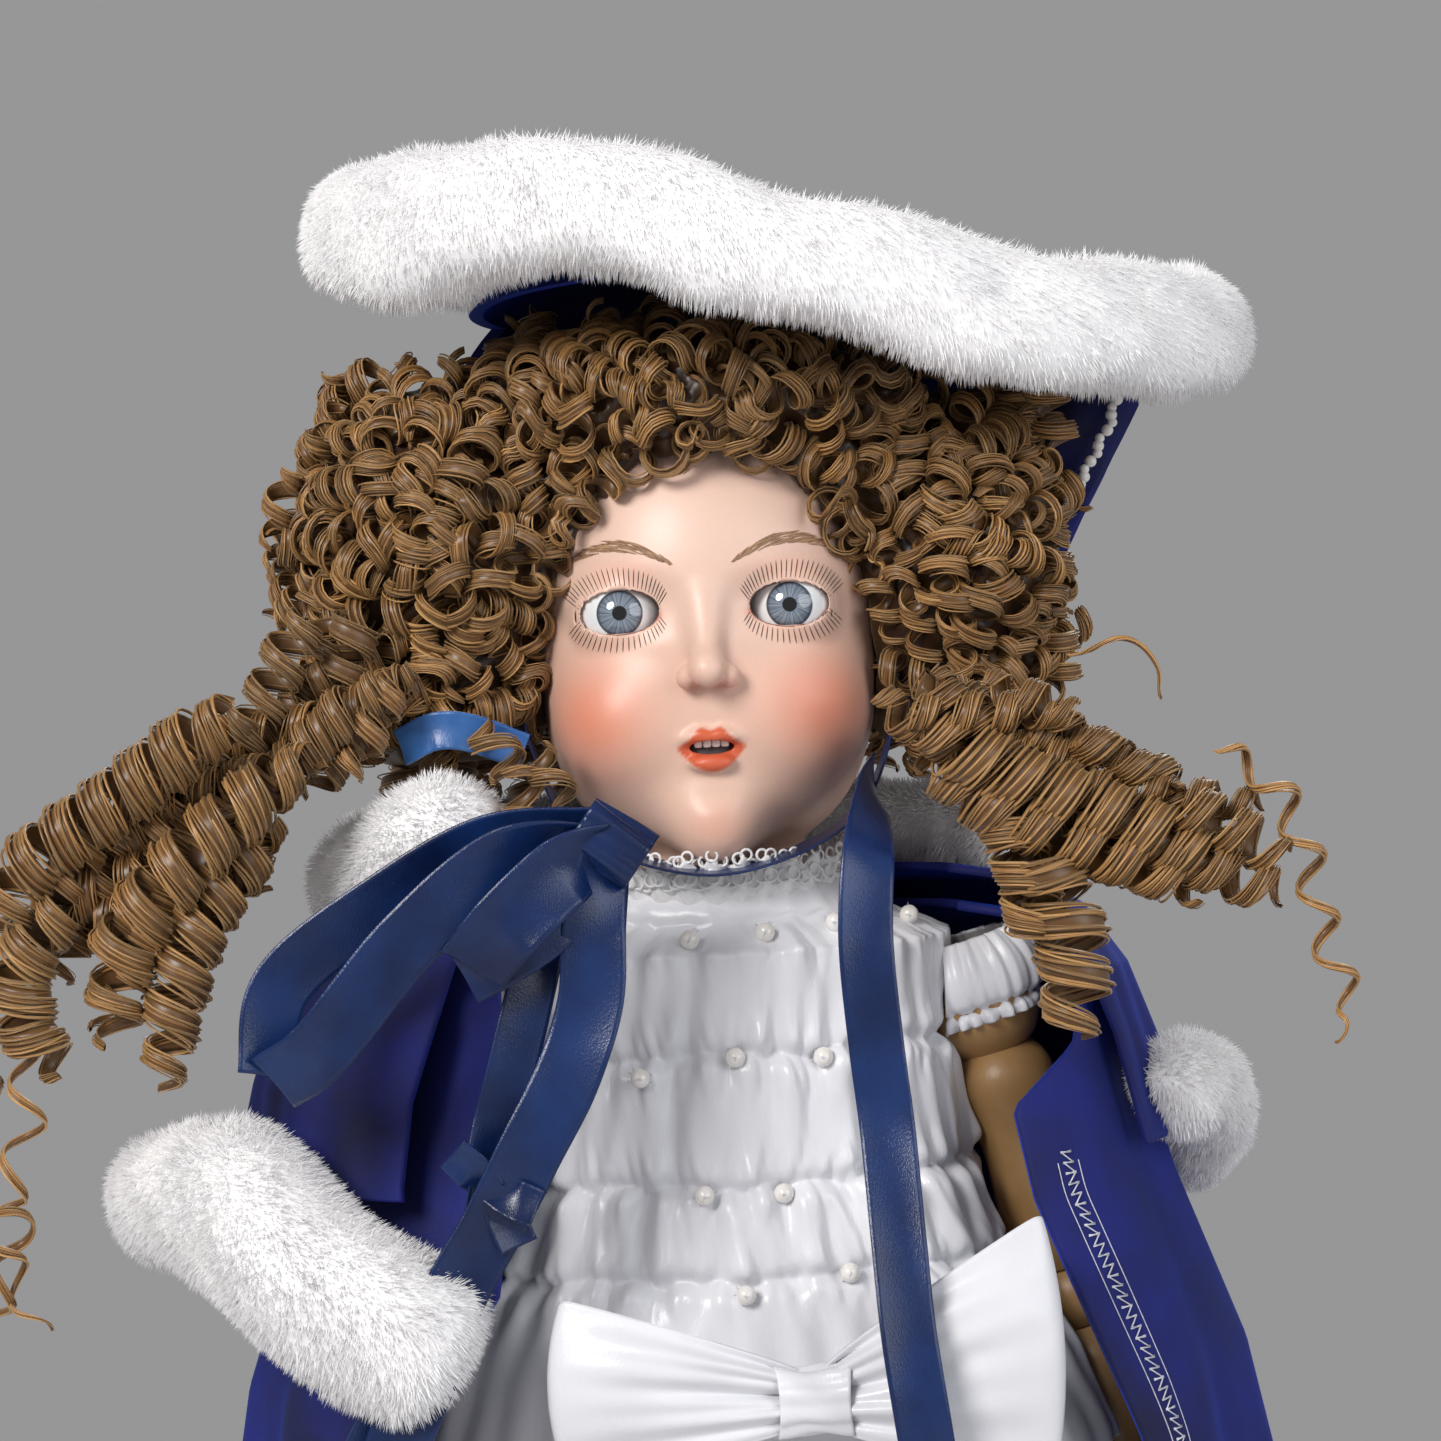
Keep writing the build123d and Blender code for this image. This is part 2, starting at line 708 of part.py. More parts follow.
# ---------------------------------------------------------------- limbs
def cone_limb(length, top_r, mid_r, end_r, top_ball, end_ball):
    """A limb along -Z: a rounded cone at each end, cupped over the balls it meets."""
    with BuildPart() as limb:
        with BuildSketch(Plane.XZ):
            with BuildLine():
                Polyline((0, -2.0), (0.62 * top_r, -0.72 * top_r - 2.0))
                Spline(
                    (0.62 * top_r, -0.72 * top_r - 2.0),
                    (top_r, -1.25 * top_r - 2.0),
                    (mid_r, -0.42 * length),
                    (end_r, -length + 1.25 * end_r),
                    (0.70 * end_r, -length + 0.74 * end_r),
                )
                Polyline((0.70 * end_r, -length + 0.74 * end_r), (0, -length + 0.6 * end_r), (0, -2.0))
            make_face()
        revolve(axis=Axis.Z)
        if top_ball > 0:
            Sphere(top_ball + socket_gap, mode=Mode.SUBTRACT)
        if end_ball > 0:
            with Locations((0, 0, -length)):
                Sphere(end_ball + 0.05, mode=Mode.SUBTRACT)
    return limb.part


def arm_place(side, t):
    """Centre of an arm joint t mm down the arm, and the arm's own lean."""
    a = math.radians(arm_splay)
    return Pos(side * (shoulder_x + t * math.sin(a)), 0, shoulder_z - t * math.cos(a)) * Rotation(0, -side * arm_splay, 0)


def leg_place(side, z):
    return Pos(side * hip_x, 0, z)


def upper_arm_shape():
    with BuildPart() as out:
        Sphere(shoulder_r)
        add(cone_limb(upper_arm_len, upper_arm_r + 1.0, upper_arm_r, elbow_r + 1.0, 0, elbow_r))
    return out.part


def forearm_shape():
    return cone_limb(forearm_len, elbow_r + 1.2, forearm_r, wrist_r + 1.2, elbow_r, wrist_r + socket_gap)


def hand_shape():
    with BuildPart() as out:
        Sphere(wrist_r)
        with Locations((0, 0, -10.0), (0, 0, -15.0)):
            Sphere(8.0)
        for k in (-1.5, -0.5, 0.5, 1.5):
            add(rope([(0.5, k * 4.2, -22.0), (0.0, k * 4.6, -29.0), (-1.0, k * 4.7, -36.0 + abs(k) * 1.5)], 2.1))
        add(rope([(0, -6.0, -10.0), (-1.5, -10.5, -16.0), (-2.0, -12.5, -23.0)], 2.3))
    return out.part


def sleeve_shape():
    with BuildPart() as out:
        Sphere(shoulder_r + 5.0)
        with Locations((0, 0, -14.0)):
            Cone(18.0, 21.0, 28.0)
        Sphere(shoulder_r + 2.6, mode=Mode.SUBTRACT)
        with Locations((0, 0, -16.0)):
            Cylinder(upper_arm_r + 2.4, 36.0, mode=Mode.SUBTRACT)
    return out.part


def thigh_shape():
    with BuildPart() as out:
        Sphere(hip_r)
        add(cone_limb(hip_z - knee_z, thigh_r, thigh_r - 1.5, knee_r + 1.0, 0, knee_r))
        with Locations((0, 0, hip_r)):
            Cylinder(3.0, 16.0, mode=Mode.SUBTRACT)
    return out.part


def foot_block(grow, base_z):
    with BuildPart() as out:
        with BuildSketch(Plane.XY.offset(base_z)):
            with Locations((0, foot_shift_y + 1.0)):
                SlotOverall(foot_len + 2 * grow, foot_w + 2 * grow, rotation=90)
        extrude(amount=foot_h + grow)
        fillet(out.faces().sort_by(Axis.Z)[-1].edges(), radius=8.0)
    return out.part


def calf_shape():
    with BuildPart() as out:
        add(cone_limb(knee_z - ankle_z + 12.0, knee_r + 1.0, calf_r - 0.5, ankle_r, knee_r, 0))
        with Locations((0, 0, -(knee_z - ankle_z) - 6.0)):
            Cylinder(ankle_r, 30.0)
        add(foot_block(0.0, -knee_z + sole_t + 0.6))
    return out.part


def shoe_shape():
    with BuildPart() as out:
        add(foot_block(shoe_wall + 0.3, sole_t + 0.2))
        add(foot_block(0.3, sole_t + 0.55), mode=Mode.SUBTRACT)
        add(foot_block(0.3, sole_t - 1.0), mode=Mode.SUBTRACT)
        with BuildSketch(Plane.XY.offset(sole_t + 10.0)):
            with Locations((0, foot_shift_y + 8.0)):
                SlotOverall(54.0, 22.0, rotation=90)
        extrude(amount=60.0, mode=Mode.SUBTRACT)
        with Locations((0, 0, 60.0)):
            Cylinder(ankle_r + 2.4, 100.0, mode=Mode.SUBTRACT)
    return out.part


def sole_shape():
    with BuildPart() as out:
        with BuildSketch():
            with Locations((0, foot_shift_y + 1.0)):
                SlotOverall(2 * sole_half_len - 4.0, 2 * sole_half_w - 3.0, rotation=90)
        extrude(amount=sole_t)
    return out.part


def strap_shape():
    with BuildPart() as out:
        with BuildSketch(Plane.XZ.offset(18.0)):
            with BuildLine():
                Spline((-17.6, 15.0), (-15.5, 27.0), (0.0, 35.0), (15.5, 27.0), (17.6, 15.0))
            trace(line_width=1.4)
        extrude(amount=6.0)
        with Locations((18.8, -21.0, 18.0)):
            Sphere(2.2)
    return out.part


def sock_shape():
    """A sock's outer form round the leg, open at the top."""
    with BuildPart() as out:
        with BuildSketch(Plane.XZ):
            with BuildLine():
                Spline((ankle_r + 1.4, 34.0), (ankle_r + 2.6, 50.0), (calf_r + 2.6, 78.0), (calf_r + 2.6, 96.0))
                Polyline((calf_r + 2.6, 96.0), (0, 96.0), (0, 34.0), (ankle_r + 1.4, 34.0))
            make_face()
        revolve(axis=Axis.Z)
        add(leg_place(0, knee_z) * calf_shape(), mode=Mode.SUBTRACT)
    return out.part


for side, tag in ((-1, "l"), (1, "r")):
    with BuildPart() as upper_arm:
        add(arm_place(side, 0.0) * upper_arm_shape())
        # the elastic's bore lies along the swing axis
        with Locations((side * shoulder_x, 0, shoulder_z)):
            Cylinder(cord_r + 1.2, 60.0, rotation=(0, 90, 0), mode=Mode.SUBTRACT)
    upper_arm.part.label = "upper_arm_" + tag
    export_step(upper_arm.part, "parts/upper_arm_" + tag + ".step")

    with BuildPart() as sleeve:
        add(arm_place(side, 0.0) * sleeve_shape())
        with Locations((side * (sleeve_in_x - 50.0), 0, shoulder_z)):
            Box(100.0, 120.0, 120.0, mode=Mode.SUBTRACT)
    sleeve.part.label = "sleeve_" + tag
    export_step(sleeve.part, "parts/sleeve_" + tag + ".step")

    with BuildPart() as elbow_ball:
        with Locations(arm_place(side, upper_arm_len)):
            Sphere(elbow_r)
    elbow_ball.part.label = "elbow_ball_" + tag
    export_step(elbow_ball.part, "parts/elbow_ball_" + tag + ".step")

    with BuildPart() as forearm:
        add(arm_place(side, upper_arm_len) * forearm_shape())
    forearm.part.label = "forearm_" + tag
    export_step(forearm.part, "parts/forearm_" + tag + ".step")

    with BuildPart() as hand:
        add(arm_place(side, upper_arm_len + forearm_len) * hand_shape())
    hand.part.label = "hand_" + tag
    export_step(hand.part, "parts/hand_" + tag + ".step")

    with BuildPart() as thigh:
        add(leg_place(side, hip_z) * thigh_shape())
    thigh.part.label = "thigh_" + tag
    export_step(thigh.part, "parts/thigh_" + tag + ".step")

    with BuildPart() as knee_ball:
        with Locations((side * hip_x, 0, knee_z)):
            Sphere(knee_r)
    knee_ball.part.label = "knee_ball_" + tag
    export_step(knee_ball.part, "parts/knee_ball_" + tag + ".step")

    with BuildPart() as lower_leg:
        add(leg_place(side, knee_z) * calf_shape())
    lower_leg.part.label = "lower_leg_" + tag
    export_step(lower_leg.part, "parts/lower_leg_" + tag + ".step")

    with BuildPart() as sock:
        add(Pos(side * hip_x, 0, 0) * sock_shape())
    sock.part.label = "sock_" + tag
    export_step(sock.part, "parts/sock_" + tag + ".step")

    with BuildPart() as shoe:
        add(Pos(side * hip_x, 0, 0) * shoe_shape())
    shoe.part.label = "shoe_" + tag
    export_step(shoe.part, "parts/shoe_" + tag + ".step")

    with BuildPart() as sole:
        add(Pos(side * hip_x, 0, 0) * sole_shape())
    sole.part.label = "sole_" + tag
    export_step(sole.part, "parts/sole_" + tag + ".step")

    with BuildPart() as strap:
        add(Pos(side * hip_x, 0, 0) * strap_shape())
    strap.part.label = "strap_" + tag
    export_step(strap.part, "parts/strap_" + tag + ".step")
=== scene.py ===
import math

import bpy
import numpy as np
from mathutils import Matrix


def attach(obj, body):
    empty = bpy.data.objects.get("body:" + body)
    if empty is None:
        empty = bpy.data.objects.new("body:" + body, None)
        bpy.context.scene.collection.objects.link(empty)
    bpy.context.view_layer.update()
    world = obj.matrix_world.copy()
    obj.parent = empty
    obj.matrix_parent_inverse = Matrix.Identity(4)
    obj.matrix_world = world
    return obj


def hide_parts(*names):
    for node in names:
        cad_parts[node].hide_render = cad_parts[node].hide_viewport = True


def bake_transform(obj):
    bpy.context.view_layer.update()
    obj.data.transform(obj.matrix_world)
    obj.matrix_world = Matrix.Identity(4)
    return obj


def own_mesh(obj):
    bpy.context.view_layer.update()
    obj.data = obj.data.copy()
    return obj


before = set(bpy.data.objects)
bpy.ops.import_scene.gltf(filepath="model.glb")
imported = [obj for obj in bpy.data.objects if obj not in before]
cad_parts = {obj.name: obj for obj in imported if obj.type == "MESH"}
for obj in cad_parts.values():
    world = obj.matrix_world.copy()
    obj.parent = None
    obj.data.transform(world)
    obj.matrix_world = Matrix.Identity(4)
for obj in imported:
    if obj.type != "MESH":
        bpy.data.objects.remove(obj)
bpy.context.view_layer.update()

import openvdb as vdb
from mathutils import Matrix, Vector
from mathutils.bvhtree import BVHTree

MM = 0.001
rng = np.random.default_rng(7)

# ------------------------------------------------------------------ materials
def new_material(name):
    mat = bpy.data.materials.new(name)
    mat.use_nodes = True
    return mat, mat.node_tree.nodes, mat.node_tree.links, mat.node_tree.nodes["Principled BSDF"]


def finish_of(shader, **values):
    """Sets the shader's own sockets; an underscore stands for a space in a socket's name."""
    for name, value in values.items():
        shader.inputs[name.replace("_", " ")].default_value = value


def vertex_paint(nodes):
    """The colour painted on the mesh's points."""
    paint = nodes.new("ShaderNodeVertexColor")
    paint.layer_name = "paint"
    return paint.outputs["Color"]


def noise(nodes, links, scale, detail=4.0, stretch=None):
    """A noise texture on object coordinates, stretched if asked."""
    coord = nodes.new("ShaderNodeTexCoord")
    tex = nodes.new("ShaderNodeTexNoise")
    tex.inputs["Scale"].default_value = scale
    tex.inputs["Detail"].default_value = detail
    if stretch:
        mapping = nodes.new("ShaderNodeMapping")
        mapping.inputs["Scale"].default_value = stretch
        links.new(coord.outputs["Object"], mapping.inputs["Vector"])
        links.new(mapping.outputs["Vector"], tex.inputs["Vector"])
    else:
        links.new(coord.outputs["Object"], tex.inputs["Vector"])
    return tex


def ramp(nodes, links, value, stops):
    """A colour ramp on a value."""
    node = nodes.new("ShaderNodeValToRGB")
    while len(node.color_ramp.elements) < len(stops):
        node.color_ramp.elements.new(0.5)
    for element, (place, colour) in zip(node.color_ramp.elements, stops):
        element.position = place
        element.color = (*colour, 1.0)
    links.new(value, node.inputs["Fac"])
    return node


def bump(nodes, links, shader, height, strength, distance):
    node = nodes.new("ShaderNodeBump")
    node.inputs["Strength"].default_value = strength
    node.inputs["Distance"].default_value = distance
    links.new(height, node.inputs["Height"])
    links.new(node.outputs["Normal"], shader.inputs["Normal"])


def cloth_material(
    name, dark, light, scale, rough, sheen=0.3, sheen_tint=(1, 1, 1), weave=1800.0, depth=0.25
):
    """Woven cloth: broad tone changes, a fine weave and a sheen."""
    mat, nodes, links, shader = new_material(name)
    tone = noise(nodes, links, scale, 5.0)
    colour = ramp(nodes, links, tone.outputs["Fac"], [(0.3, dark), (0.7, light)])
    links.new(colour.outputs["Color"], shader.inputs["Base Color"])
    fine = noise(nodes, links, weave, 2.0, stretch=(1.0, 1.0, 0.45))
    bump(nodes, links, shader, fine.outputs["Fac"], depth, 0.0003)
    finish_of(shader, Roughness=rough, Sheen_Weight=sheen, Sheen_Roughness=0.35)
    finish_of(shader, Sheen_Tint=(*sheen_tint, 1.0))
    return mat


def painted_material(name, rough, coat, sub, detail_scale, depth):
    """Colour painted on the vertices, with fine grain over it."""
    mat, nodes, links, shader = new_material(name)
    grain = noise(nodes, links, detail_scale, 3.0)
    mix = nodes.new("ShaderNodeMix")
    mix.data_type = "RGBA"
    mix.blend_type = "MULTIPLY"
    mix.inputs["Factor"].default_value = 0.10
    links.new(vertex_paint(nodes), mix.inputs[6])
    links.new(grain.outputs["Color"], mix.inputs[7])
    links.new(mix.outputs[2], shader.inputs["Base Color"])
    bump(nodes, links, shader, grain.outputs["Fac"], depth, 0.0004)
    finish_of(shader, Roughness=rough, Coat_Weight=coat, Coat_Roughness=0.35)
    finish_of(shader, Subsurface_Weight=sub, Subsurface_Radius=(0.004, 0.0018, 0.001))
    return mat


def hair_material():
    mat, nodes, links, shader = new_material("mohair")
    links.new(vertex_paint(nodes), shader.inputs["Base Color"])
    finish_of(shader, Roughness=0.38, Specular_IOR_Level=0.6, Anisotropic=0.6)
    finish_of(shader, Sheen_Weight=0.25, Sheen_Tint=(1.0, 0.8, 0.5, 1.0))
    return mat


def pearl_material():
    mat, nodes, links, shader = new_material("pearl")
    tone = noise(nodes, links, 400.0, 2.0)
    colour = ramp(nodes, links, tone.outputs["Fac"], [(0.3, (0.86, 0.80, 0.74)), (0.7, (0.93, 0.91, 0.88))])
    links.new(colour.outputs["Color"], shader.inputs["Base Color"])
    finish_of(shader, Roughness=0.18, Coat_Weight=0.8, Sheen_Weight=0.3)
    return mat


SKIN = painted_material("bisque_skin", 0.42, 0.12, 0.12, 900.0, 0.05)
COMPO = cloth_material(
    "composition_skin", (0.36, 0.20, 0.075), (0.44, 0.26, 0.11), 60.0, 0.38, 0.0, weave=900.0
)
HAIR = hair_material()
FUR = cloth_material("white_fur", (0.86, 0.85, 0.86), (0.95, 0.94, 0.94), 60.0, 0.8, 0.3, weave=2500.0)
SATIN = cloth_material("white_satin", (0.76, 0.76, 0.80), (0.84, 0.84, 0.87), 30.0, 0.27, 0.12)
LACE = cloth_material("white_lace", (0.80, 0.79, 0.79), (0.92, 0.91, 0.91), 900.0, 0.7, 0.2, depth=0.6)
VELVET = cloth_material(
    "blue_velvet", (0.001, 0.002, 0.022), (0.003, 0.009, 0.20), 22.0, 0.75, 0.5, (0.02, 0.11, 1.0), 2600.0, 0.5
)
RIBBON = cloth_material(
    "navy_ribbon", (0.003, 0.010, 0.050), (0.007, 0.030, 0.130), 40.0, 0.24, 0.05, (0.2, 0.4, 1.0), 3200.0, 0.3
)
# painted sheen: a paler blue for where the navy ribbon catches the light
RIBBON_SHEEN_PAINT = cloth_material("ribbon_painted_sheen", (0.02, 0.09, 0.30), (0.05, 0.16, 0.42), 90.0, 0.3, 0.5)
THREAD = cloth_material("sewing_thread", (0.5, 0.52, 0.6), (0.8, 0.8, 0.85), 800.0, 0.6)
LID = cloth_material(
    "bisque_lid", (0.80, 0.50, 0.40), (0.86, 0.58, 0.46), 90.0, 0.42, 0.0, weave=900.0, depth=0.05
)
PEARL = pearl_material()
STOCKING = cloth_material(
    "knit_stocking", (0.72, 0.71, 0.68), (0.88, 0.87, 0.84), 300.0, 0.8, weave=2200.0, depth=0.8
)
SHOE = cloth_material("shoe_leather", (0.006, 0.008, 0.03), (0.015, 0.02, 0.06), 220.0, 0.25, 0.0, weave=1200.0)
SOLE = cloth_material("sole_leather", (0.16, 0.09, 0.05), (0.26, 0.16, 0.09), 200.0, 0.6, 0.0, weave=900.0)
# dark grey: the lead eye weight's own colour, also used as painted shade inside the open mouth
DARK = cloth_material("dark_lead_and_mouth_shade", (0.06, 0.06, 0.065), (0.12, 0.12, 0.13), 300.0, 0.5, 0.0)
BOARD = cloth_material("pate_board", (0.42, 0.32, 0.22), (0.56, 0.44, 0.30), 200.0, 0.85, 0.0)


def set_material(node, mat):
    """Gives a CAD node its finish."""
    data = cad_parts[node].data
    data.materials.clear()
    data.materials.append(mat)


# ------------------------------------------------------------------ mesh helpers
def piece(name, verts_mm, faces, mat, body, paint=None, smooth=True):
    """A mesh piece from millimetre points, riding on a body."""
    mesh = bpy.data.meshes.new(name)
    verts = np.asarray(verts_mm, float) * MM
    mesh.from_pydata(verts.tolist(), [], faces if isinstance(faces, list) else faces.tolist())
    mesh.update()
    if smooth:
        mesh.polygons.foreach_set("use_smooth", [True] * len(mesh.polygons))
    if paint is not None:
        layer = mesh.color_attributes.new("paint", "FLOAT_COLOR", "POINT")
        rgba = np.ones((len(verts), 4), np.float32)
        rgba[:, :3] = paint
        layer.data.foreach_set("color", rgba.ravel())
    obj = bpy.data.objects.new(name, mesh)
    bpy.context.scene.collection.objects.link(obj)
    obj.data.materials.append(mat)
    if body:
        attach(obj, body)
    return obj


def grid_faces(rows, cols, closed=False):
    """Quads over a rows x cols grid of points; closed joins the last column to the first."""
    i = np.arange(rows - 1)[:, None]
    j = np.arange(cols if closed else cols - 1)[None, :]
    nxt = (j + 1) % cols
    return np.stack(
        [(i * cols + j), (i * cols + nxt), ((i + 1) * cols + nxt), ((i + 1) * cols + j)], axis=-1
    ).reshape(-1, 4)


def sheet_of(points, wall, closed=False):
    """A thin cloth of a given thickness from a grid of points (rows, cols, 3): both faces and the edges."""
    rows, cols = points.shape[:2]
    du = np.roll(points, -1, 1) - np.roll(points, 1, 1)
    if not closed:
        du[:, 0] = points[:, 1] - points[:, 0]
        du[:, -1] = points[:, -1] - points[:, -2]
    dv = np.gradient(points, axis=0)
    normal = np.cross(du, dv)
    normal /= np.linalg.norm(normal, axis=-1, keepdims=True) + 1e-9
    outer = (points + normal * wall / 2).reshape(-1, 3)
    inner = (points - normal * wall / 2).reshape(-1, 3)
    faces = grid_faces(rows, cols, closed)
    n = rows * cols
    both = [faces, faces[:, ::-1] + n]
    rim = []
    for r in (0, rows - 1):
        for c in range(cols if closed else cols - 1):
            a, b = r * cols + c, r * cols + (c + 1) % cols
            rim.append([a, b, b + n, a + n] if r else [b, a, a + n, b + n])
    if not closed:
        for c in (0, cols - 1):
            for r in range(rows - 1):
                a, b = r * cols + c, (r + 1) * cols + c
                rim.append([a, b, b + n, a + n] if c == 0 else [b, a, a + n, b + n])
    return np.vstack([outer, inner]), np.vstack(both + [np.array(rim)])


def frames_along(path):
    """Tangent, side and up at each point of a path (n, 3)."""
    tangent = np.gradient(path, axis=0)
    tangent /= np.linalg.norm(tangent, axis=1, keepdims=True) + 1e-9
    side = np.zeros_like(path)
    ref = np.array([0.0, -1.0, 0.05])
    side[0] = np.cross(tangent[0], ref)
    side[0] /= np.linalg.norm(side[0]) + 1e-9
    for i in range(1, len(path)):
        s = side[i - 1] - tangent[i] * np.dot(side[i - 1], tangent[i])
        side[i] = s / (np.linalg.norm(s) + 1e-9)
    up = np.cross(side, tangent)
    return tangent, side, up


def smooth_path(points, count):
    """A smooth curve through given points (Catmull-Rom)."""
    p = np.asarray(points, float)
    p = np.vstack([2 * p[0] - p[1], p, 2 * p[-1] - p[-2]])
    n = len(p) - 3
    t = np.linspace(0, n - 1e-6, count)
    i = t.astype(int)
    u = (t - i)[:, None]
    a, b, c, d = p[i], p[i + 1], p[i + 2], p[i + 3]
    return 0.5 * (2 * b + (c - a) * u + (2 * a - 5 * b + 4 * c - d) * u**2 + (3 * b - a - 3 * c + d) * u**3)


def tube(path, radius, sides=8, flat=1.0):
    """Points and faces of a tube; radius may vary along the path."""
    _, side, up = frames_along(path)
    r = np.broadcast_to(np.asarray(radius, float), (len(path),))[:, None, None]
    a = np.linspace(0, 2 * math.pi, sides, endpoint=False)[None, :, None]
    ring = path[:, None] + r * (np.cos(a) * side[:, None] + flat * np.sin(a) * up[:, None])
    faces = grid_faces(len(path), sides, True)
    ends = [list(range(sides))[::-1], [(len(path) - 1) * sides + k for k in range(sides)]]
    return ring.reshape(-1, 3), faces.tolist() + ends


class Bundle:
    """Collects many small forms into one mesh."""

    def __init__(self):
        self.verts, self.faces, self.paint, self.count = [], [], [], 0

    def add(self, verts, faces, colour=None):
        self.verts.append(verts)
        rows = faces if isinstance(faces, list) else faces.tolist()
        self.faces += [[k + self.count for k in f] for f in rows]
        if colour is not None:
            self.paint.append(np.broadcast_to(colour, (len(verts), 3)))
        self.count += len(verts)

    def make(self, name, mat, body, slot):
        paint = np.vstack(self.paint) if self.paint else None
        return piece(name, np.vstack(self.verts), self.faces, mat, body, paint)


# ------------------------------------------------------------------ head, modelled as a distance field
EYE_X, EYE_Y, EYE_Z, EYE_R = 23.5, -32.0, 557.0, 12.5
MOUTH_Z = 518.0


def egg_at(x, y, z):
    """A maker of egg-shaped distance fields over the given points."""

    def egg(cx, cy, cz, rx, ry, rz):
        k = np.sqrt(((x - cx) / rx) ** 2 + ((y - cy) / ry) ** 2 + ((z - cz) / rz) ** 2)
        return (k - 1) * min(rx, ry, rz)

    return egg


def blobs_field(x, y, z):
    """Signed distance to the outside of the head, in mm."""
    egg = egg_at(x, y, z)

    def ball(cx, cy, cz, r):
        return np.sqrt((x - cx) ** 2 + (y - cy) ** 2 + (z - cz) ** 2) - r

    def rod(a, b, ra, rb):
        ax, ay, az = a
        bx, by, bz = b
        dx, dy, dz = bx - ax, by - ay, bz - az
        t = ((x - ax) * dx + (y - ay) * dy + (z - az) * dz) / (dx * dx + dy * dy + dz * dz)
        t = np.clip(t, 0, 1)
        off = (x - ax - t * dx) ** 2 + (y - ay - t * dy) ** 2 + (z - az - t * dz) ** 2
        return np.sqrt(off) - (ra + (rb - ra) * t)

    def join(a, b, k):
        h = np.clip(0.5 + 0.5 * (b - a) / k, 0, 1)
        return b + (a - b) * h - k * h * (1 - h)

    def carve(a, b, k):
        return -join(-a, b, k)

    ax = np.abs(x)
    d = egg(0, 3, 567, 50, 53, 56)
    d = join(d, egg(0, -7, 533, 47.5, 41, 46), 10)
    cheek = np.sqrt((ax - 22) ** 2 + (y + 28) ** 2 + (z - 527) ** 2) - 19.5
    d = join(d, cheek, 9)
    d = join(d, egg(0, -9, 515.5, 39, 32, 28.5), 6)
    d = join(d, ball(0, -35.5, 497.5, 11.5), 12)
    # brow and eye hollows
    hollow = np.sqrt(((ax - 20) / 1.4) ** 2 + (y + 54) ** 2 + ((z - 558) / 0.85) ** 2) - 9.0
    d = carve(d, hollow, 7)
    lid = np.sqrt((ax - EYE_X) ** 2 + (y - EYE_Y) ** 2 + (z - EYE_Z) ** 2) - 14.1
    d = join(d, lid, 3.0)
    # nose
    d = join(d, rod((0, -46, 560), (0, -53, 543), 3.0, 4.2), 6)
    d = join(d, ball(0, -55.6, 540.0, 5.0), 3.2)
    alae = np.sqrt((ax - 5.4) ** 2 + (y + 51.8) ** 2 + (z - 538.2) ** 2) - 3.5
    d = join(d, alae, 1.6)
    nostril = np.sqrt(((ax - 3.4) / 1.3) ** 2 + (y + 55.0) ** 2 + ((z - 535.4) / 0.8) ** 2) - 1.35
    d = carve(d, nostril, 0.6)
    groove = rod((0, -52.2, 532), (0, -52.5, 525), 1.0, 1.4)
    d = carve(d, groove, 1.6)
    # lips
    bow = 522.3 - 0.20 * np.abs(ax - 3.4)
    upper = np.sqrt(((ax - 3.0) / 2.0) ** 2 + (y + 47.8 - 0.10 * ax) ** 2 + ((z - bow) / 0.9) ** 2) - 2.5
    d = join(d, upper, 2.2)
    lower = np.sqrt((ax / 2.2) ** 2 + (y + 47.0) ** 2 + ((z - 514.4) / 0.95) ** 2) - 2.8
    d = join(d, lower, 2.4)
    dimple = np.sqrt((ax / 2.0) ** 2 + (y + 49.5) ** 2 + (z - 505.5) ** 2) - 2.2
    d = carve(d, dimple, 4)
    # ears
    ear = np.sqrt(((ax - 48.5) / 0.45) ** 2 + (y - 9) ** 2 + ((z - 548) / 1.4) ** 2) - 9.0
    d = join(d, ear * 0.6, 2)
    # neck
    neck = np.maximum(np.sqrt(x**2 + y**2) - 21.5, np.maximum(z - 520, 470 - z))
    d = join(d, neck, 9)
    return join(d, ball(0, 0, 480, 24.6), 3)


def head_mesh():
    step = 0.9
    lo = np.array([-58.0, -62.0, 455.0])
    hi = np.array([58.0, 60.0, 603.5])
    n = np.ceil((hi - lo) / step).astype(int) + 1
    gx, gy, gz = [lo[k] + step * np.arange(n[k]) for k in range(3)]
    x, y, z = np.meshgrid(gx, gy, gz, indexing="ij")
    outer = blobs_field(x, y, z)
    shell = np.maximum(outer, -(outer + 3.2))
    ax = np.abs(x)
    # the eye's seat and its almond opening
    seat = np.sqrt((ax - EYE_X) ** 2 + (y - EYE_Y) ** 2 + (z - EYE_Z) ** 2) - 13.35
    shell = np.maximum(shell, -seat)
    u = (ax - EYE_X) / 10.9
    arch = np.where(z > EYE_Z, 6.2, 5.7) * np.sqrt(np.clip(1 - np.abs(u) ** 2.1, 0, 1))
    almond = np.maximum(np.abs(z - EYE_Z) - arch, np.maximum(ax - EYE_X - 10.9, EYE_X - 10.9 - ax))
    almond = np.maximum(almond, y - EYE_Y)
    shell = np.maximum(shell, -almond)
    # open mouth
    gape = np.maximum(np.sqrt((x / 6.3) ** 2 + ((z - MOUTH_Z - 0.8) / 1.9) ** 2) * 1.9 - 1.9, y + 30)
    shell = np.maximum(shell, -gape)
    shell = np.maximum(shell, z - 602.6)
    shell = np.maximum(shell, 456.0 - z)
    bore = np.maximum(np.sqrt(x**2 + y**2) - 17.4, z - 500)
    shell = np.maximum(shell, -bore)
    grid = vdb.FloatGrid()
    grid.background = 3.0
    grid.copyFromArray(np.clip(shell, -3, 3).astype(np.float32))
    points, quads = grid.convertToQuads(isovalue=0.0)
    return lo + points * step, quads[:, ::-1]


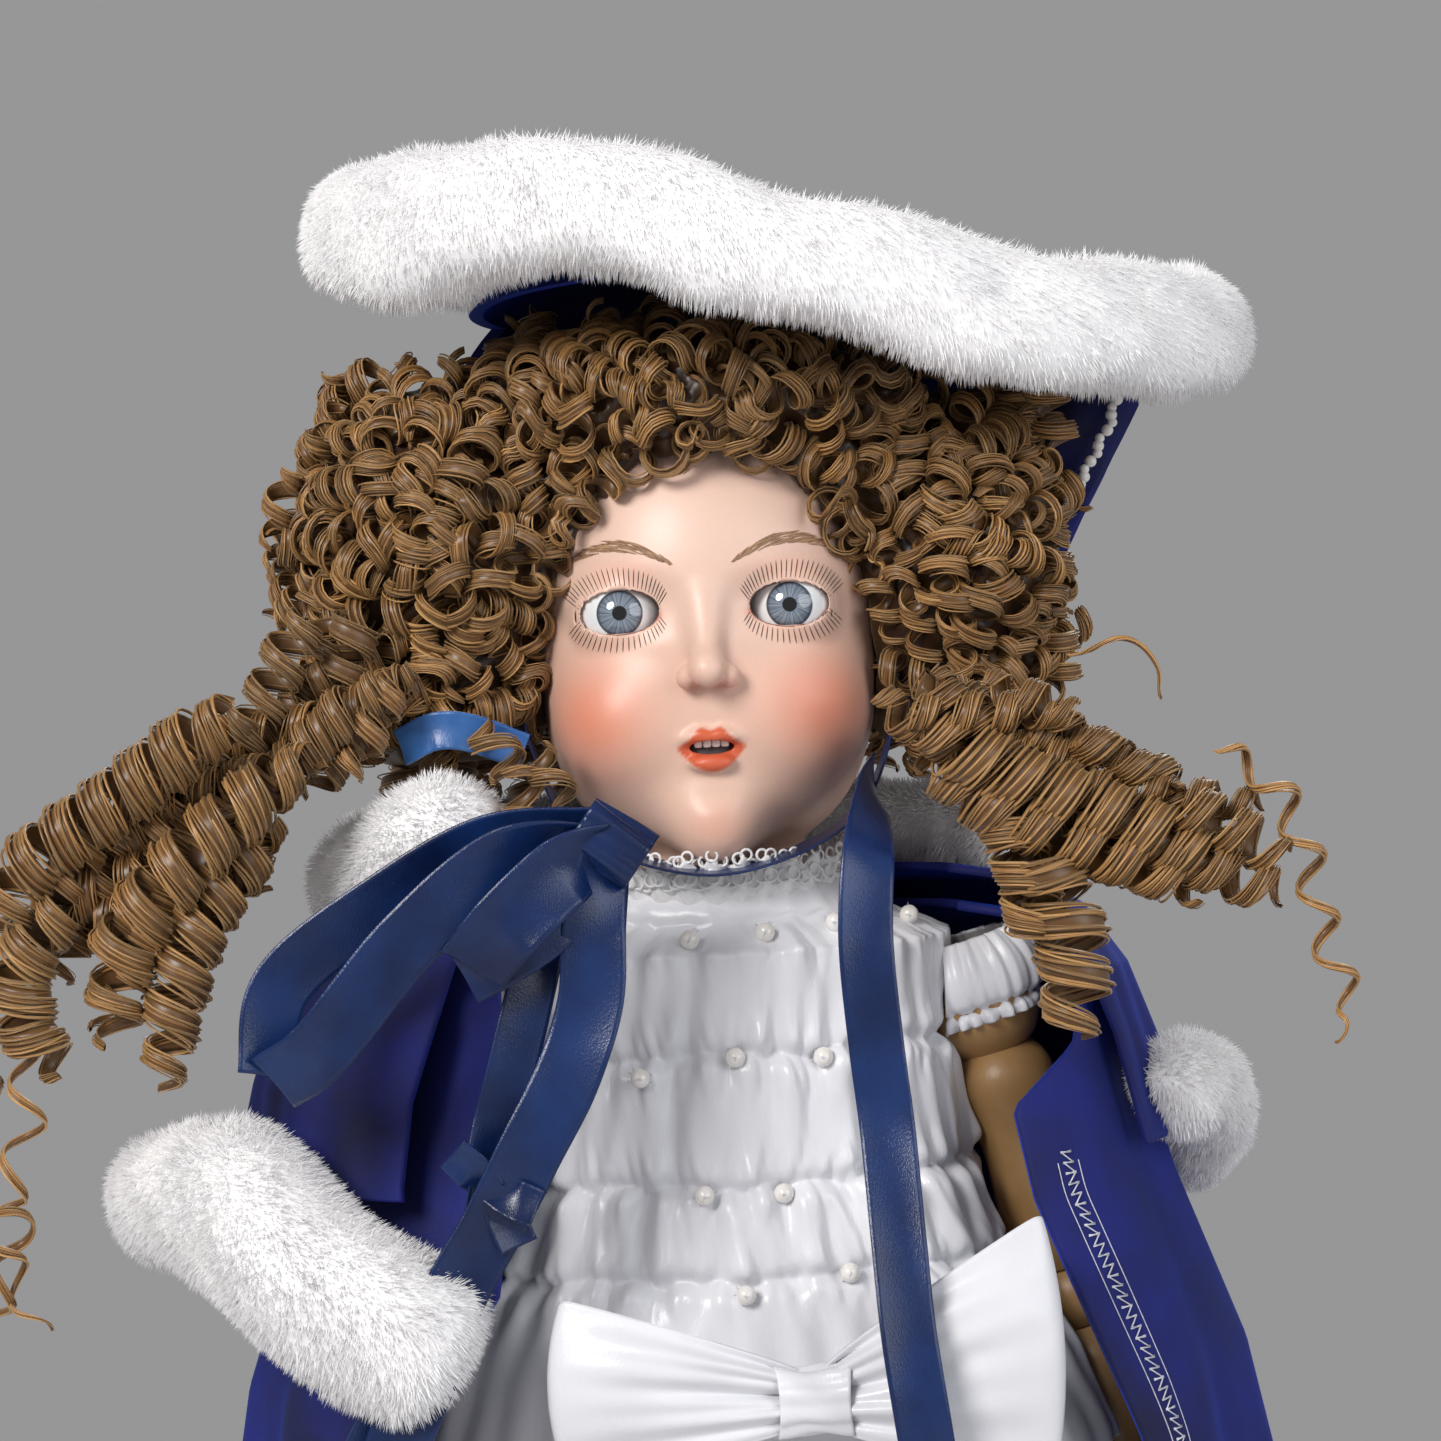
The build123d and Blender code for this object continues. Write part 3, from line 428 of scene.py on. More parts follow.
def soft_spot(v, centre, spread):
    d = (v - np.array(centre)) / np.array(spread)
    return np.exp(-np.sum(d * d, axis=1))


def head_paint(v):
    ax = np.abs(v[:, 0])
    colour = np.tile(np.array([0.86, 0.58, 0.46]), (len(v), 1))
    pale = soft_spot(v, (0, -50, 585), (48, 60, 34))[:, None]
    colour = colour * (1 - 0.5 * pale) + np.array([0.90, 0.66, 0.55]) * 0.5 * pale
    w = np.stack([ax, v[:, 1], v[:, 2]], 1)
    blush = np.clip(0.85 * soft_spot(w, (31, -38, 528), (15, 24, 15)), 0, 1)[:, None]
    colour = colour * (1 - blush) + np.array([0.83, 0.24, 0.13]) * blush
    for centre, spread, power in (
        ((0, -50, 497), (9, 12, 6), 0.35),
        ((4, -54, 536), (5, 6, 3.5), 0.35),
        ((23, -46, 568), (12, 10, 4), 0.25),
    ):
        warm = power * soft_spot(w, centre, spread)[:, None]
        colour = colour * (1 - warm) + np.array([0.82, 0.28, 0.17]) * warm
    # lips: a bow above and a full lip below
    front = v[:, 1] < -40
    zc = v[:, 2]
    top = 523.3 + 1.9 * np.exp(-(((ax - 3.0) / 2.0) ** 2)) - 0.26 * ax - 0.02 * ax**2
    low = 511.9 + 0.075 * ax**2
    inside = np.minimum(top - zc, zc - low)
    inside = np.minimum(inside, (9.4 - ax) * 0.8)
    mask = (np.clip(inside / 0.9 + 0.5, 0, 1) * front)[:, None]
    colour = colour * (1 - mask) + np.array([0.72, 0.135, 0.055]) * mask
    nostrils = 0.75 * soft_spot(w, (3.6, -54, 534.9), (1.7, 5, 1.1))[:, None]
    colour = colour * (1 - nostrils) + np.array([0.42, 0.09, 0.05]) * nostrils
    # pink tear ducts
    duct = 0.8 * soft_spot(w, (12.4, -43, 555.5), (1.6, 4, 1.4))[:, None]
    colour = colour * (1 - duct) + np.array([0.75, 0.20, 0.12]) * duct
    return colour


HEAD_V, HEAD_F = head_mesh()
head = piece("head_bisque", HEAD_V, HEAD_F.astype(int), SKIN, "head", head_paint(HEAD_V))
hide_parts("bisque_head")
HEAD_TREE = BVHTree.FromPolygons(HEAD_V.tolist(), HEAD_F.tolist())


def on_face(x, z, lift=0.12):
    """The point of the face's front at (x, z), a little proud of the surface."""
    hit = HEAD_TREE.ray_cast(Vector((x, -90.0, z)), Vector((0, 1, 0)))
    if hit[0] is None:
        return np.array([x, -40.0, z])
    n = hit[1] if hit[1].y < 0 else -hit[1]
    return np.array(hit[0] + n * lift)


def stroke(bundle, xz, width, colour):
    """A fine painted hair line on the face: thin, tapered and flat."""
    path = np.array([on_face(px, pz) for px, pz in xz])
    t = np.linspace(0, 1, len(path))
    r = width * np.clip(np.sin(math.pi * (0.12 + 0.88 * t)) ** 0.7, 0.12, 1)
    v, f = tube(path, r, 4, 0.35)
    bundle.add(v, f, colour)


def face_paint():
    brows = Bundle()
    lashes = Bundle()
    for side in (-1, 1):
        for k in range(120):
            t = k / 119
            cx = 8.8 + 29.5 * t
            cz = 568.6 + 7.6 * math.sin(math.pi * (0.06 + 0.74 * t)) - 1.6 * t * t
            lean = 0.80 - 1.15 * t
            size = 3.6 * math.sin(math.pi * (0.10 + 0.80 * t)) + 1.0
            off = rng.uniform(-1.5, 1.5) * math.sin(math.pi * (0.08 + 0.84 * t))
            dx, dz = math.cos(lean), math.sin(lean)
            line = [
                (side * (cx - dx * size / 2 + s * dx * size), cz + off - dz * size / 2 + s * dz * size)
                for s in (0, 0.33, 0.66, 1)
            ]
            shade = 0.7 + 0.5 * rng.random()
            stroke(brows, line, 0.19, np.array([0.44, 0.25, 0.14]) * shade)
        for upper in (True, False):
            count = 26 if upper else 22
            for k in range(count):
                t = k / (count - 1)
                a = math.pi * (0.06 + 0.88 * t)
                ex = EYE_X - 11.3 * math.cos(a)
                ez = EYE_Z + (7.4 if upper else -6.7) * math.sin(a) ** 0.9
                fan = (t - 0.42) * 1.45
                length = (5.6 if upper else 4.4) * (0.75 + 0.4 * t)
                up = 1 if upper else -1
                reach_x, reach_z = length * math.sin(fan), length * math.cos(fan)
                line = [
                    (side * (ex + s * reach_x), ez + up * s * reach_z + up * 0.1) for s in (0, 0.4, 0.8, 1.0)
                ]
                stroke(lashes, line, 0.12, np.array([0.05, 0.02, 0.012]))
    # rim lines round each eye
    for side in (-1, 1):
        for upper in (True, False):
            line = []
            for t in np.linspace(0.02, 0.98, 22):
                a = math.pi * t
                rise = (6.5 if upper else -6.0) * math.sin(a) ** 0.95
                line.append((side * (EYE_X - 11.05 * math.cos(a)), EYE_Z + rise))
            path = np.array([on_face(px, pz, 0.05) for px, pz in line])
            v, f = tube(path, 0.30 if upper else 0.16, 5, 0.5)
            lashes.add(v, f, np.array((0.07, 0.03, 0.02) if upper else (0.30, 0.12, 0.08)))
    brows.make("painted_brows", SKIN, "head", "bisque")
    lashes.make("painted_lashes", SKIN, "head", "bisque")


face_paint()


def eye_material():
    """Blown-glass eye: white, a dark rim, a grey-blue iris with pale threads, a black pupil."""
    mat, nodes, links, shader = new_material("glass_eye")
    links.new(vertex_paint(nodes), shader.inputs["Base Color"])
    finish_of(shader, Roughness=0.08, Coat_Weight=1.0, Coat_Roughness=0.02, Specular_IOR_Level=0.6)
    return mat


def eyeball(name, node, side):
    rings_n, around = 150, 200
    u = np.concatenate([np.linspace(0, 0.62, 118), np.linspace(0.64, math.pi, rings_n - 118)])
    a = np.linspace(0, 2 * math.pi, around, endpoint=False)
    uu, aa = np.meshgrid(u, a, indexing="ij")
    r = EYE_R + 0.35 * np.exp(-((uu / 0.42) ** 4))
    x = side * EYE_X + r * np.sin(uu) * np.cos(aa)
    z = EYE_Z + r * np.sin(uu) * np.sin(aa)
    y = EYE_Y - r * np.cos(uu)
    rho = uu * EYE_R
    iris_r, pupil_r = 6.7, 2.0
    threads = np.zeros_like(aa)
    for freq, amp in ((23, 0.5), (37, 0.4), (61, 0.35), (11, 0.3)):
        phase = rng.uniform(0, 6.28)
        threads = threads + amp * np.sin(freq * aa + phase + 0.35 * rho)
    threads = np.clip(0.5 + 0.42 * threads, 0, 1)
    t = np.clip((rho - pupil_r) / (iris_r - pupil_r), 0, 1)
    blue = np.array([0.075, 0.105, 0.15])
    pale = np.array([0.36, 0.42, 0.48])
    depth = (threads * (1 - 0.55 * t) * 0.9)[..., None]
    colour = blue * (1 - depth) + pale * depth
    rim = np.clip((rho - iris_r + 1.25) / 1.0, 0, 1)[..., None]
    colour = colour * (1 - 0.85 * rim) + np.array([0.012, 0.018, 0.03]) * 0.85 * rim
    pupil = np.clip((pupil_r - rho) / 0.25 + 0.5, 0, 1)[..., None]
    colour = colour * (1 - pupil) + np.array([0.002, 0.002, 0.003]) * pupil
    white = np.clip((rho - iris_r) / 0.35 + 0.5, 0, 1)[..., None]
    colour = colour * (1 - white) + np.array([0.84, 0.86, 0.88]) * white
    verts = np.stack([x, y, z], -1).reshape(-1, 3)
    faces = grid_faces(rings_n, around, True)
    obj = piece(name, verts, faces[:, ::-1], EYE_MAT, "eyes", colour.reshape(-1, 3))
    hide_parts(node)


EYE_MAT = eye_material()
eyeball("glass_eye_l", "eye_l", -1)
eyeball("glass_eye_r", "eye_r", 1)

for node, mat in (("eyelids", LID), ("eye_rocker", DARK), ("pate", BOARD), ("neck_plug", COMPO)):
    set_material(node, mat)


def teeth_row():
    """Four small rounded teeth with a dark tube behind them, painted shade for the hollow of the open mouth."""
    row = Bundle()
    for k in (-1.5, -0.5, 0.5, 1.5):
        a = np.linspace(0, 2 * math.pi, 16, endpoint=False)
        cx = k * 2.45
        layers = []
        for s, w in ((-1.0, 0.15), (-0.92, 0.8), (-0.5, 1.0), (0.3, 0.98), (1.0, 0.92)):
            sx = 1.18 * w * np.sign(np.cos(a)) * np.abs(np.cos(a)) ** 0.6
            sy = 0.9 * w * np.sign(np.sin(a)) * np.abs(np.sin(a)) ** 0.6
            level = np.full(len(a), 520.1 + 1.35 * s)
            layers.append(np.stack([cx + sx, -45.6 + 0.06 * cx * cx + sy, level], 1))
        v = np.array(layers).reshape(-1, 3)
        f = grid_faces(5, 16, True).tolist() + [list(range(16))[::-1], [64 + i for i in range(16)]]
        row.add(v, f, np.array([0.86, 0.85, 0.80]))
    obj = row.make("teeth_row", SKIN, "head", "tooth")
    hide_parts("teeth")
    # painted shade: a dark tube behind the teeth darkens the inside of the open mouth
    back = smooth_path([(-9, -39, 518), (-5, -41.5, 518), (0, -42.3, 518), (5, -41.5, 518), (9, -39, 518)], 20)
    v, f = tube(back, 4.2, 8, 0.25)
    piece("mouth_inside", v, f, DARK, "head")


teeth_row()


# ------------------------------------------------------------------ hair
GOLDEN = np.array([0.27, 0.125, 0.034])
# painted shade: the dark brown of hair in shadow between the curls
HAIR_SHADE = np.array([0.060, 0.022, 0.006])
BRIGHT = np.array([0.56, 0.32, 0.12])


class Strands:
    """Many fine strands and flat bands gathered into one mesh of quads."""

    def __init__(self):
        self.verts, self.quads, self.paint, self.count = [], [], [], 0

    def add(self, grids, colours):
        """grids (strands, rows, sides, 3) and colours (strands, rows, 3)."""
        s, rows, sides = grids.shape[:3]
        one = grid_faces(rows, sides, True)
        per = rows * sides
        quads = one[None] + (np.arange(s) * per)[:, None, None] + self.count
        self.verts.append(grids.reshape(-1, 3))
        self.quads.append(quads.reshape(-1, 4))
        self.paint.append(np.repeat(colours[:, :, None, :], sides, 2).reshape(-1, 3))
        self.count += s * per

    def make(self, name, mat, body, slot):
        verts, quads = np.vstack(self.verts), np.vstack(self.quads)
        return piece(name, verts, quads, mat, body, np.vstack(self.paint))


def lock(
    out, axis, coil, pitch, width, strands=12, phase=0.0, hand=1, tone=1.0, thick=0.31, step=17
):
    """One curl: a flat band of strands wound in a helix along an axis path (n, 3)."""
    seg = np.linalg.norm(np.diff(axis, axis=0), axis=1)
    length = seg.sum()
    turns = length / pitch
    n = max(14, int(turns * step))
    s_old = np.concatenate([[0], np.cumsum(seg)]) / length
    s = np.linspace(0, 1, n)
    mid = np.stack([np.interp(s, s_old, axis[:, k]) for k in range(3)], 1)
    tangent, side, up = frames_along(mid)
    turn = phase + hand * 2 * math.pi * turns * s
    swell = np.interp(s, [0, 0.12, 0.75, 1], [0.55, 1, 1, 0.6])
    radial = np.cos(turn)[:, None] * side + np.sin(turn)[:, None] * up
    offs = np.linspace(-0.5, 0.5, strands)
    taper = np.interp(s, [0, 0.1, 0.8, 1], [0.5, 1, 0.9, 0.25])
    drift = rng.normal(0, 0.07, (strands, 1))
    wave = drift + 0.09 * np.sin(turn[None] * 0.9 + rng.uniform(0, 6.3, (strands, 1)))
    o = (offs[:, None] + wave) * width * taper[None]
    r = coil * swell[None] * (1 + rng.normal(0, 0.06, (strands, 1)))
    r = r - 0.05 * (offs[:, None] * 2) ** 2 * coil
    centre = mid[None] + tangent[None] * o[..., None] + radial[None] * r[..., None]
    a = np.array([0.3, 2.4, 4.5])
    tip = np.interp(s, [0, 0.05, 0.85, 1], [0.5, 1, 0.9, 0.3])
    t_r = thick * tip[None, :, None, None] * rng.uniform(0.8, 1.25, (strands, 1, 1, 1))
    cos_a, sin_a = np.cos(a)[None, None, :, None], np.sin(a)[None, None, :, None]
    ring = centre[:, :, None] + t_r * (cos_a * radial[None, :, None] + sin_a * tangent[None, :, None])
    shade = rng.uniform(0.55, 1.3, (strands, 1, 1)) * tone
    mixv = np.clip(rng.normal(0.35, 0.28, (strands, 1, 1)), 0, 1)
    colour = (GOLDEN * (1 - mixv) + BRIGHT * mixv) * shade + np.zeros((strands, n, 1))
    out.add(ring, np.clip(colour, 0, 1))
    # the band behind the strands, a little nearer the axis, painted darker as shade in the gaps between them
    b = np.linspace(0, 2 * math.pi, 6, endpoint=False)
    w = (width * 0.43 * taper)[:, None, None]
    back = mid + radial * (coil * swell - 0.45)[:, None]
    band = back[:, None] + np.cos(b)[None, :, None] * w * tangent[:, None]
    band = band + np.sin(b)[None, :, None] * 0.42 * radial[:, None]
    shaded_back_tone = (0.6 * GOLDEN + 0.4 * HAIR_SHADE) * 0.75 * tone
    out.add(band[None], np.broadcast_to(shaded_back_tone, (1, n, 3)))


def hair_mass(x, y, z):
    """Distance to the bulk of the wig, in mm."""
    egg = egg_at(x, y, z)
    d = egg(-2, 8, 592, 84, 48, 50)
    d = np.minimum(d, egg(-72, 0, 583, 40, 40, 44))
    d = np.minimum(d, egg(-78, 4, 546, 36, 34, 31))
    d = np.minimum(d, egg(70, 4, 570, 34, 36, 48))
    d = np.minimum(d, egg(70, 6, 538, 30, 30, 27))
    d = np.minimum(d, egg(0, 50, 560, 80, 40, 50))
    d = np.minimum(d, egg(0, -8, 615, 66, 44, 22))
    # the face's window
    win = np.sqrt(((x - 4) / 42.0) ** 2 + ((z - 542) / 57.0) ** 2)
    face = np.maximum((win - 1) * 45, y - 2)
    return np.maximum(d, -face)


def wig():
    step = 2.0
    lo = np.array([-124.0, -52.0, 510.0])
    n = np.array([124, 76, 69])
    x, y, z = np.meshgrid(*[lo[k] + step * np.arange(n[k]) for k in range(3)], indexing="ij")
    shell = hair_mass(x, y, z)
    ripple = 1.2 * np.sin(x * 0.55) * np.sin(z * 0.5 + y * 0.3)
    shell = np.maximum(shell + ripple, -(blobs_field(x, y, z) - 0.5))
    shell = np.maximum(shell, 518.0 - z)
    grid = vdb.FloatGrid()
    grid.background = 6.0
    grid.copyFromArray(np.clip(shell, -6, 6).astype(np.float32))
    points, quads = grid.convertToQuads(isovalue=0.0)
    verts = lo + points * step
    # painted shade: the wig's core under the curls is coloured as hair in shadow between them
    paint = np.tile(HAIR_SHADE * 0.75, (len(verts), 1))
    core = piece("wig_core", verts, quads[:, ::-1].astype(int), HAIR, "head", paint)
    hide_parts("wig", "back_curls")
    tree = BVHTree.FromPolygons(verts.tolist(), quads.tolist())

    def on_mass(px, pz):
        """The front of the wig's bulk at (px, pz), or None beside it."""
        hit = tree.ray_cast(Vector((px, -150.0, pz)), Vector((0, 1, 0)))
        return None if hit[0] is None else np.array(hit[0])

    def window(px, pz):
        """Under 1 inside the oval that the hair leaves open for the face."""
        return math.hypot((px - 4) / 43.0, (pz - 543) / 55.0)

    front = Strands()
    middle = Strands()
    side = Strands()
    rear = Strands()
    spots = []
    tries = 0
    while len(spots) < 190 and tries < 12000:
        tries += 1
        px, pz = rng.uniform(-122, 114), rng.uniform(522, 642)
        if window(px, pz) < 1.0 or on_mass(px, pz) is None:
            continue
        if all(math.hypot(px - q[0], pz - q[1]) > 8.8 for q in spots):
            spots.append((px, pz))
    for px, pz in spots:
        base = on_mass(px, pz)
        lean = rng.normal(0, 0.75)
        if px < -50:
            lean -= 0.45
        if px > 55:
            lean += 0.35
        length = rng.uniform(20, 34)
        if window(px, pz) < 1.35 and abs(px) < 60:
            length *= 0.62
        way = np.array([math.sin(lean), 0, -math.cos(lean)])
        top = base - way * length * 0.45
        path = []
        for t in np.linspace(0, 1, 7):
            q = top + way * length * t
            hit = on_mass(q[0], q[2])
            depth = hit[1] if hit is not None else base[1] + 6
            path.append([q[0], min(depth, base[1] + 14) - 3.5 - 3.0 * math.sin(math.pi * t), q[2]])
        path = smooth_path(path, 30)
        win_end = np.hypot((path[:, 0] - 4) / 39.5, (path[:, 2] - 541) / 53.0)
        keep = win_end > 1.0
        path = path[: np.argmin(keep)] if not keep.all() else path
        if len(path) < 8:
            continue
        # painted shadow: curls above z 615, under the bonnet's brim, are made darker; the rest of the tone
        # varies at random
        tone = 0.80 + 0.35 * rng.random() - 0.25 * max(0, (pz - 615) / 30)
        lock(
            front if px < -38 else middle if px < 38 else side,
            path,
            rng.uniform(3.8, 6.6),
            rng.uniform(7.5, 12.0),
            rng.uniform(3.6, 6.2),
            phase=rng.uniform(0, 6.28),
            hand=rng.choice([-1, 1]),
            tone=tone,
        )
    # outline curls that stick out at the sides
    for k in range(34):
        left = k % 2 == 0
        pz = 540 + 92 * (k // 2) / 17 + rng.uniform(-3, 3)
        px = (-104 if left else 98) + rng.uniform(-5, 5) - (12 if left and 560 < pz < 600 else 0)
        a = rng.normal(0, 0.6)
        way = np.array([math.sin(a) * 0.6 + (-0.5 if left else 0.5), 0.25, -math.cos(a)])
        way /= np.linalg.norm(way)
        c = np.array([px, rng.uniform(-18, 22), pz])
        path = smooth_path([c - way * 12, c, c + way * 11], 20)
        coil, pitch = rng.uniform(5, 7), rng.uniform(9, 12)
        lock(front if left else side, path, coil, pitch, 5.5, phase=rng.uniform(0, 6.28), tone=0.95)
    # the back of the head: longer hanging curls, rows from crown to nape
    for row in range(4):
        for k in range(19):
            a = math.pi * (0.01 + 0.98 * (k + 0.5 * (row % 2)) / 18.5)
            rx, ry = 82 + 3 * row, 72 + 3 * row
            px, py = rx * math.cos(a), 12 + ry * math.sin(a)
            top = 596 - 18 * row + rng.uniform(-4, 4)
            spots = [[px * 0.96, py * 0.96, top], [px, py, top - 18], [px * 1.02, py * 1.01, top - 38]]
            path = smooth_path(spots, 24)
            lock(rear, path, 6.5, 11.0, 6.5, 8, rng.uniform(0, 6.28), rng.choice([-1, 1]), 0.9)
    front.make("wig_curls_l", HAIR, "head", "hair")
    middle.make("wig_curls_middle", HAIR, "head", "hair")
    side.make("wig_curls_r", HAIR, "head", "hair")
    rear.make("wig_curls_back", HAIR, "head", "hair")


wig()


def ringlets():
    left = Strands()
    right = Strands()
    y0 = -76.0

    def small_curl(out, c, way, size):
        path = smooth_path([c - way * size, c, c + way * size], 24)
        coil, pitch = rng.uniform(5, 7.5), rng.uniform(10, 13)
        phase = rng.uniform(0, 6.28)
        lock(out, path, coil, pitch, 6, 12, phase, tone=0.80 + 0.3 * rng.random())

    def large_curls(out, rows):
        for pts, coil, pitch in rows:
            phase = rng.uniform(0, 6.28)
            lock(out, smooth_path(pts, 60), coil, pitch, 9.0, 14, phase, tone=0.95, thick=0.5)

    def wisp(out, pts, coil, pitch, width, strands, phase):
        path = smooth_path(pts, 90)
        lock(out, path, coil, pitch, width, strands, phase, tone=1.1, thick=0.5, step=26)

    # a sweep of small and large curls to the left, behind the coat's shoulder
    for k in range(34):
        t = k / 33
        px = -100 - 78 * t + rng.uniform(-10, 10)
        pz = 545 - 72 * t + rng.uniform(-19, 19)
        a = 0.7 + rng.normal(0, 0.45)
        way = np.array([-math.sin(a), 0, -math.cos(a)])
        size = rng.uniform(14, 24)
        c = np.array([px, -66 + rng.uniform(-14, 6), pz])
        c[1] = np.interp(px, [-190, -110], [c[1], c[1] + 22])
        small_curl(left, c, way, size)
    big = [
        ([(-128, y0, 535), (-160, y0, 512), (-183, y0, 496), (-192, y0, 476)], 8.5, 12),
        ([(-112, y0 + 8, 520), (-140, y0, 497), (-158, y0, 474), (-162, y0, 448)], 9.0, 13),
        ([(-120, y0 + 14, 505), (-138, y0 + 6, 480), (-146, y0 + 2, 458), (-150, y0, 436)], 8.0, 12),
        ([(-176, y0, 486), (-186, y0, 468), (-184, y0, 452), (-176, y0, 442)], 8.0, 12),
    ]
    large_curls(left, big)
    thin = [(-190, y0 + 6, 468), (-200, y0 + 8, 440), (-202, y0 + 8, 414), (-192, y0 + 6, 396)]
    thin += [(-200, y0 + 6, 378), (-206, y0 + 6, 362)]
    wisp(left, thin, 5.5, 21, 2.6, 5, 0.4)
    thin = [(-186, y0 + 3, 452), (-188, y0 + 3, 425), (-196, y0 + 3, 398), (-186, y0 + 3, 372)]
    wisp(left, thin, 5.0, 20, 2.2, 4, 2.4)
    # the right-hand curls
    for k in range(20):
        t = k / 19
        px = 62 + 72 * t + rng.uniform(-7, 7)
        pz = 528 - 40 * t + rng.uniform(-13, 12)
        a = 0.85 + rng.normal(0, 0.4)
        way = np.array([math.sin(a), 0, -math.cos(a)])
        size = rng.uniform(12, 20)
        c = np.array([px, -70 + rng.uniform(-10, 8), pz])
        small_curl(right, c, way, size)
    big = [
        ([(58, y0, 520), (86, y0, 504), (112, y0, 492), (137, y0, 478)], 9.0, 12),
        ([(60, y0 + 6, 508), (84, y0, 494), (108, y0, 484), (128, y0, 474)], 8.0, 12),
        ([(84, y0, 486), (92, y0, 468), (93, y0, 450), (92, y0, 437)], 9.5, 13),
        ([(76, y0 + 4, 500), (82, y0, 480), (84, y0, 462)], 8.0, 12),
    ]
    large_curls(right, big)
    thin = [(134, y0, 512), (148, y0, 502), (156, y0, 484), (160, y0, 462), (166, y0, 440)]
    wisp(right, thin + [(160, y0, 434)], 5.0, 17, 2.4, 5, 0.9)
    arc = [(100, -48, 540), (114, -50, 541), (122, -52, 534), (124, -52, 526)]
    lock(right, smooth_path(arc, 40), 2.0, 40, 4.0, 7, 0.4, tone=1.1, thick=0.5, step=40)
    out_l = left.make("ringlets_left", HAIR, None, "hair")
    out_r = right.make("ringlets_right", HAIR, None, "hair")
    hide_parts("ringlets_l")
    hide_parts("ringlets_r")
    # the free curls hang from the head and lie against the coat
    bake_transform(out_l)
    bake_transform(out_r)
    loops = Strands()
    for cx, cz, r in ((-51, 506, 8.5), (-44, 512, 7.0), (58, 516, 8.0), (-58, 520, 8.0)):
        path = smooth_path([(cx - 4, -52, cz + 9), (cx, -54, cz), (cx + 2, -55, cz - 7)], 20)
        lock(loops, path, r * 0.8, 12, 4.0, 8, rng.uniform(0, 6.28), tone=1.0)
    loops.make("temple_curls", HAIR, "head", "hair")


ringlets()


# ------------------------------------------------------------------ placing things as the eye sees them
EYE_POINT = (2.8, -895.0, 526.0)
VIEW_X, VIEW_Y, VIEW_Z = EYE_POINT


def nearness(y):
    """How large a length at depth y is beside one on the plane y = 0 that looks as long."""
    return (y - VIEW_Y) / -VIEW_Y


def seen(x0, z0, y):
    """The point at depth y that lines up with (x0, z0) on the plane y = 0."""
    k = nearness(y)
    return (VIEW_X + (x0 - VIEW_X) * k, y, VIEW_Z + (z0 - VIEW_Z) * k)


def cloth(name, grid, wall, mat, body, held, rests_on, closed=False, node=None):
    """A sheet from a grid of points, at the size that the grid itself measures."""
    verts, faces = sheet_of(grid, wall, closed)
    obj = piece(name, verts, faces, mat, body)
    if node:
        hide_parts(node)
    return obj


def ring_faces(rows, cols):
    """Quads of a grid that closes both ways."""
    i = np.arange(rows)[:, None]
    j = np.arange(cols)[None, :]
    a, b = (i + 1) % rows, (j + 1) % cols
    return np.stack([i * cols + j, i * cols + b, a * cols + b, a * cols + j], -1).reshape(-1, 4)


def hairs(grid, count, length, flow, spread, radius, wrap_rows):
    """Fine tapering fibres all over a surface grid that closes across its columns."""
    rows, cols = grid.shape[:2]
    du = np.roll(grid, -1, 1) - np.roll(grid, 1, 1)
    dv = np.roll(grid, -1, 0) - np.roll(grid, 1, 0) if wrap_rows else np.gradient(grid, axis=0)
    normal = np.cross(du, dv)
    weight = np.linalg.norm(normal, axis=2)
    normal = normal / (weight[..., None] + 1e-9)
    weight = weight if wrap_rows else weight[:-1]
    flatw = (weight / weight.sum()).ravel()
    pick = rng.choice(len(flatw), count, p=flatw)
    r, c = pick // cols, pick % cols
    fr, fc = rng.random(count)[:, None], rng.random(count)[:, None]
    r2, c2 = (r + 1) % rows, (c + 1) % cols
    near = grid[r, c] * (1 - fr) + grid[r2, c] * fr
    far = grid[r, c2] * (1 - fr) + grid[r2, c2] * fr
    root = near * (1 - fc) + far * fc
    n = normal[r, c]
    centre = grid.mean(axis=1)[r]
    n = np.where(np.sum(n * (root - centre), 1, keepdims=True) < 0, -n, n)
    rx, ry, rz = root[:, :1], root[:, 1:2], root[:, 2:]
    tuft = np.sin(rx * 0.33 + rz * 0.21) + np.sin(ry * 0.29 - rz * 0.37)
    way = n + np.asarray(flow) + spread * rng.normal(0, 1, (count, 3))
    way = way + 0.09 * tuft * np.array([[1.0, 0.3, 0.4]])
    way /= np.linalg.norm(way, axis=1, keepdims=True)
    size = length * rng.uniform(0.6, 1.15, (count, 1)) * (1 + 0.12 * tuft)
    ref = np.where(np.abs(way[:, 2:]) < 0.9, np.array([[0, 0, 1.0]]), np.array([[1.0, 0, 0]]))
    s = np.cross(way, ref)
    s /= np.linalg.norm(s, axis=1, keepdims=True)
    u = np.cross(way, s)
    base = root - n * 0.6
    corner = [base + radius * (math.cos(k) * s + math.sin(k) * u) for k in (0, 2.09, 4.19)]
    bend = way + np.asarray(flow) * 0.5
    bend /= np.linalg.norm(bend, axis=1, keepdims=True)
    tip = root + way * size * 0.5 + bend * size * 0.5
    verts = np.stack(corner + [tip], 1).reshape(-1, 3)
    k = 4 * np.arange(count)[:, None]
    tris = np.stack([k + [0, 1, 3], k + [1, 2, 3], k + [2, 0, 3], k + [2, 1, 0]], 1).reshape(-1, 3)
    return verts, tris


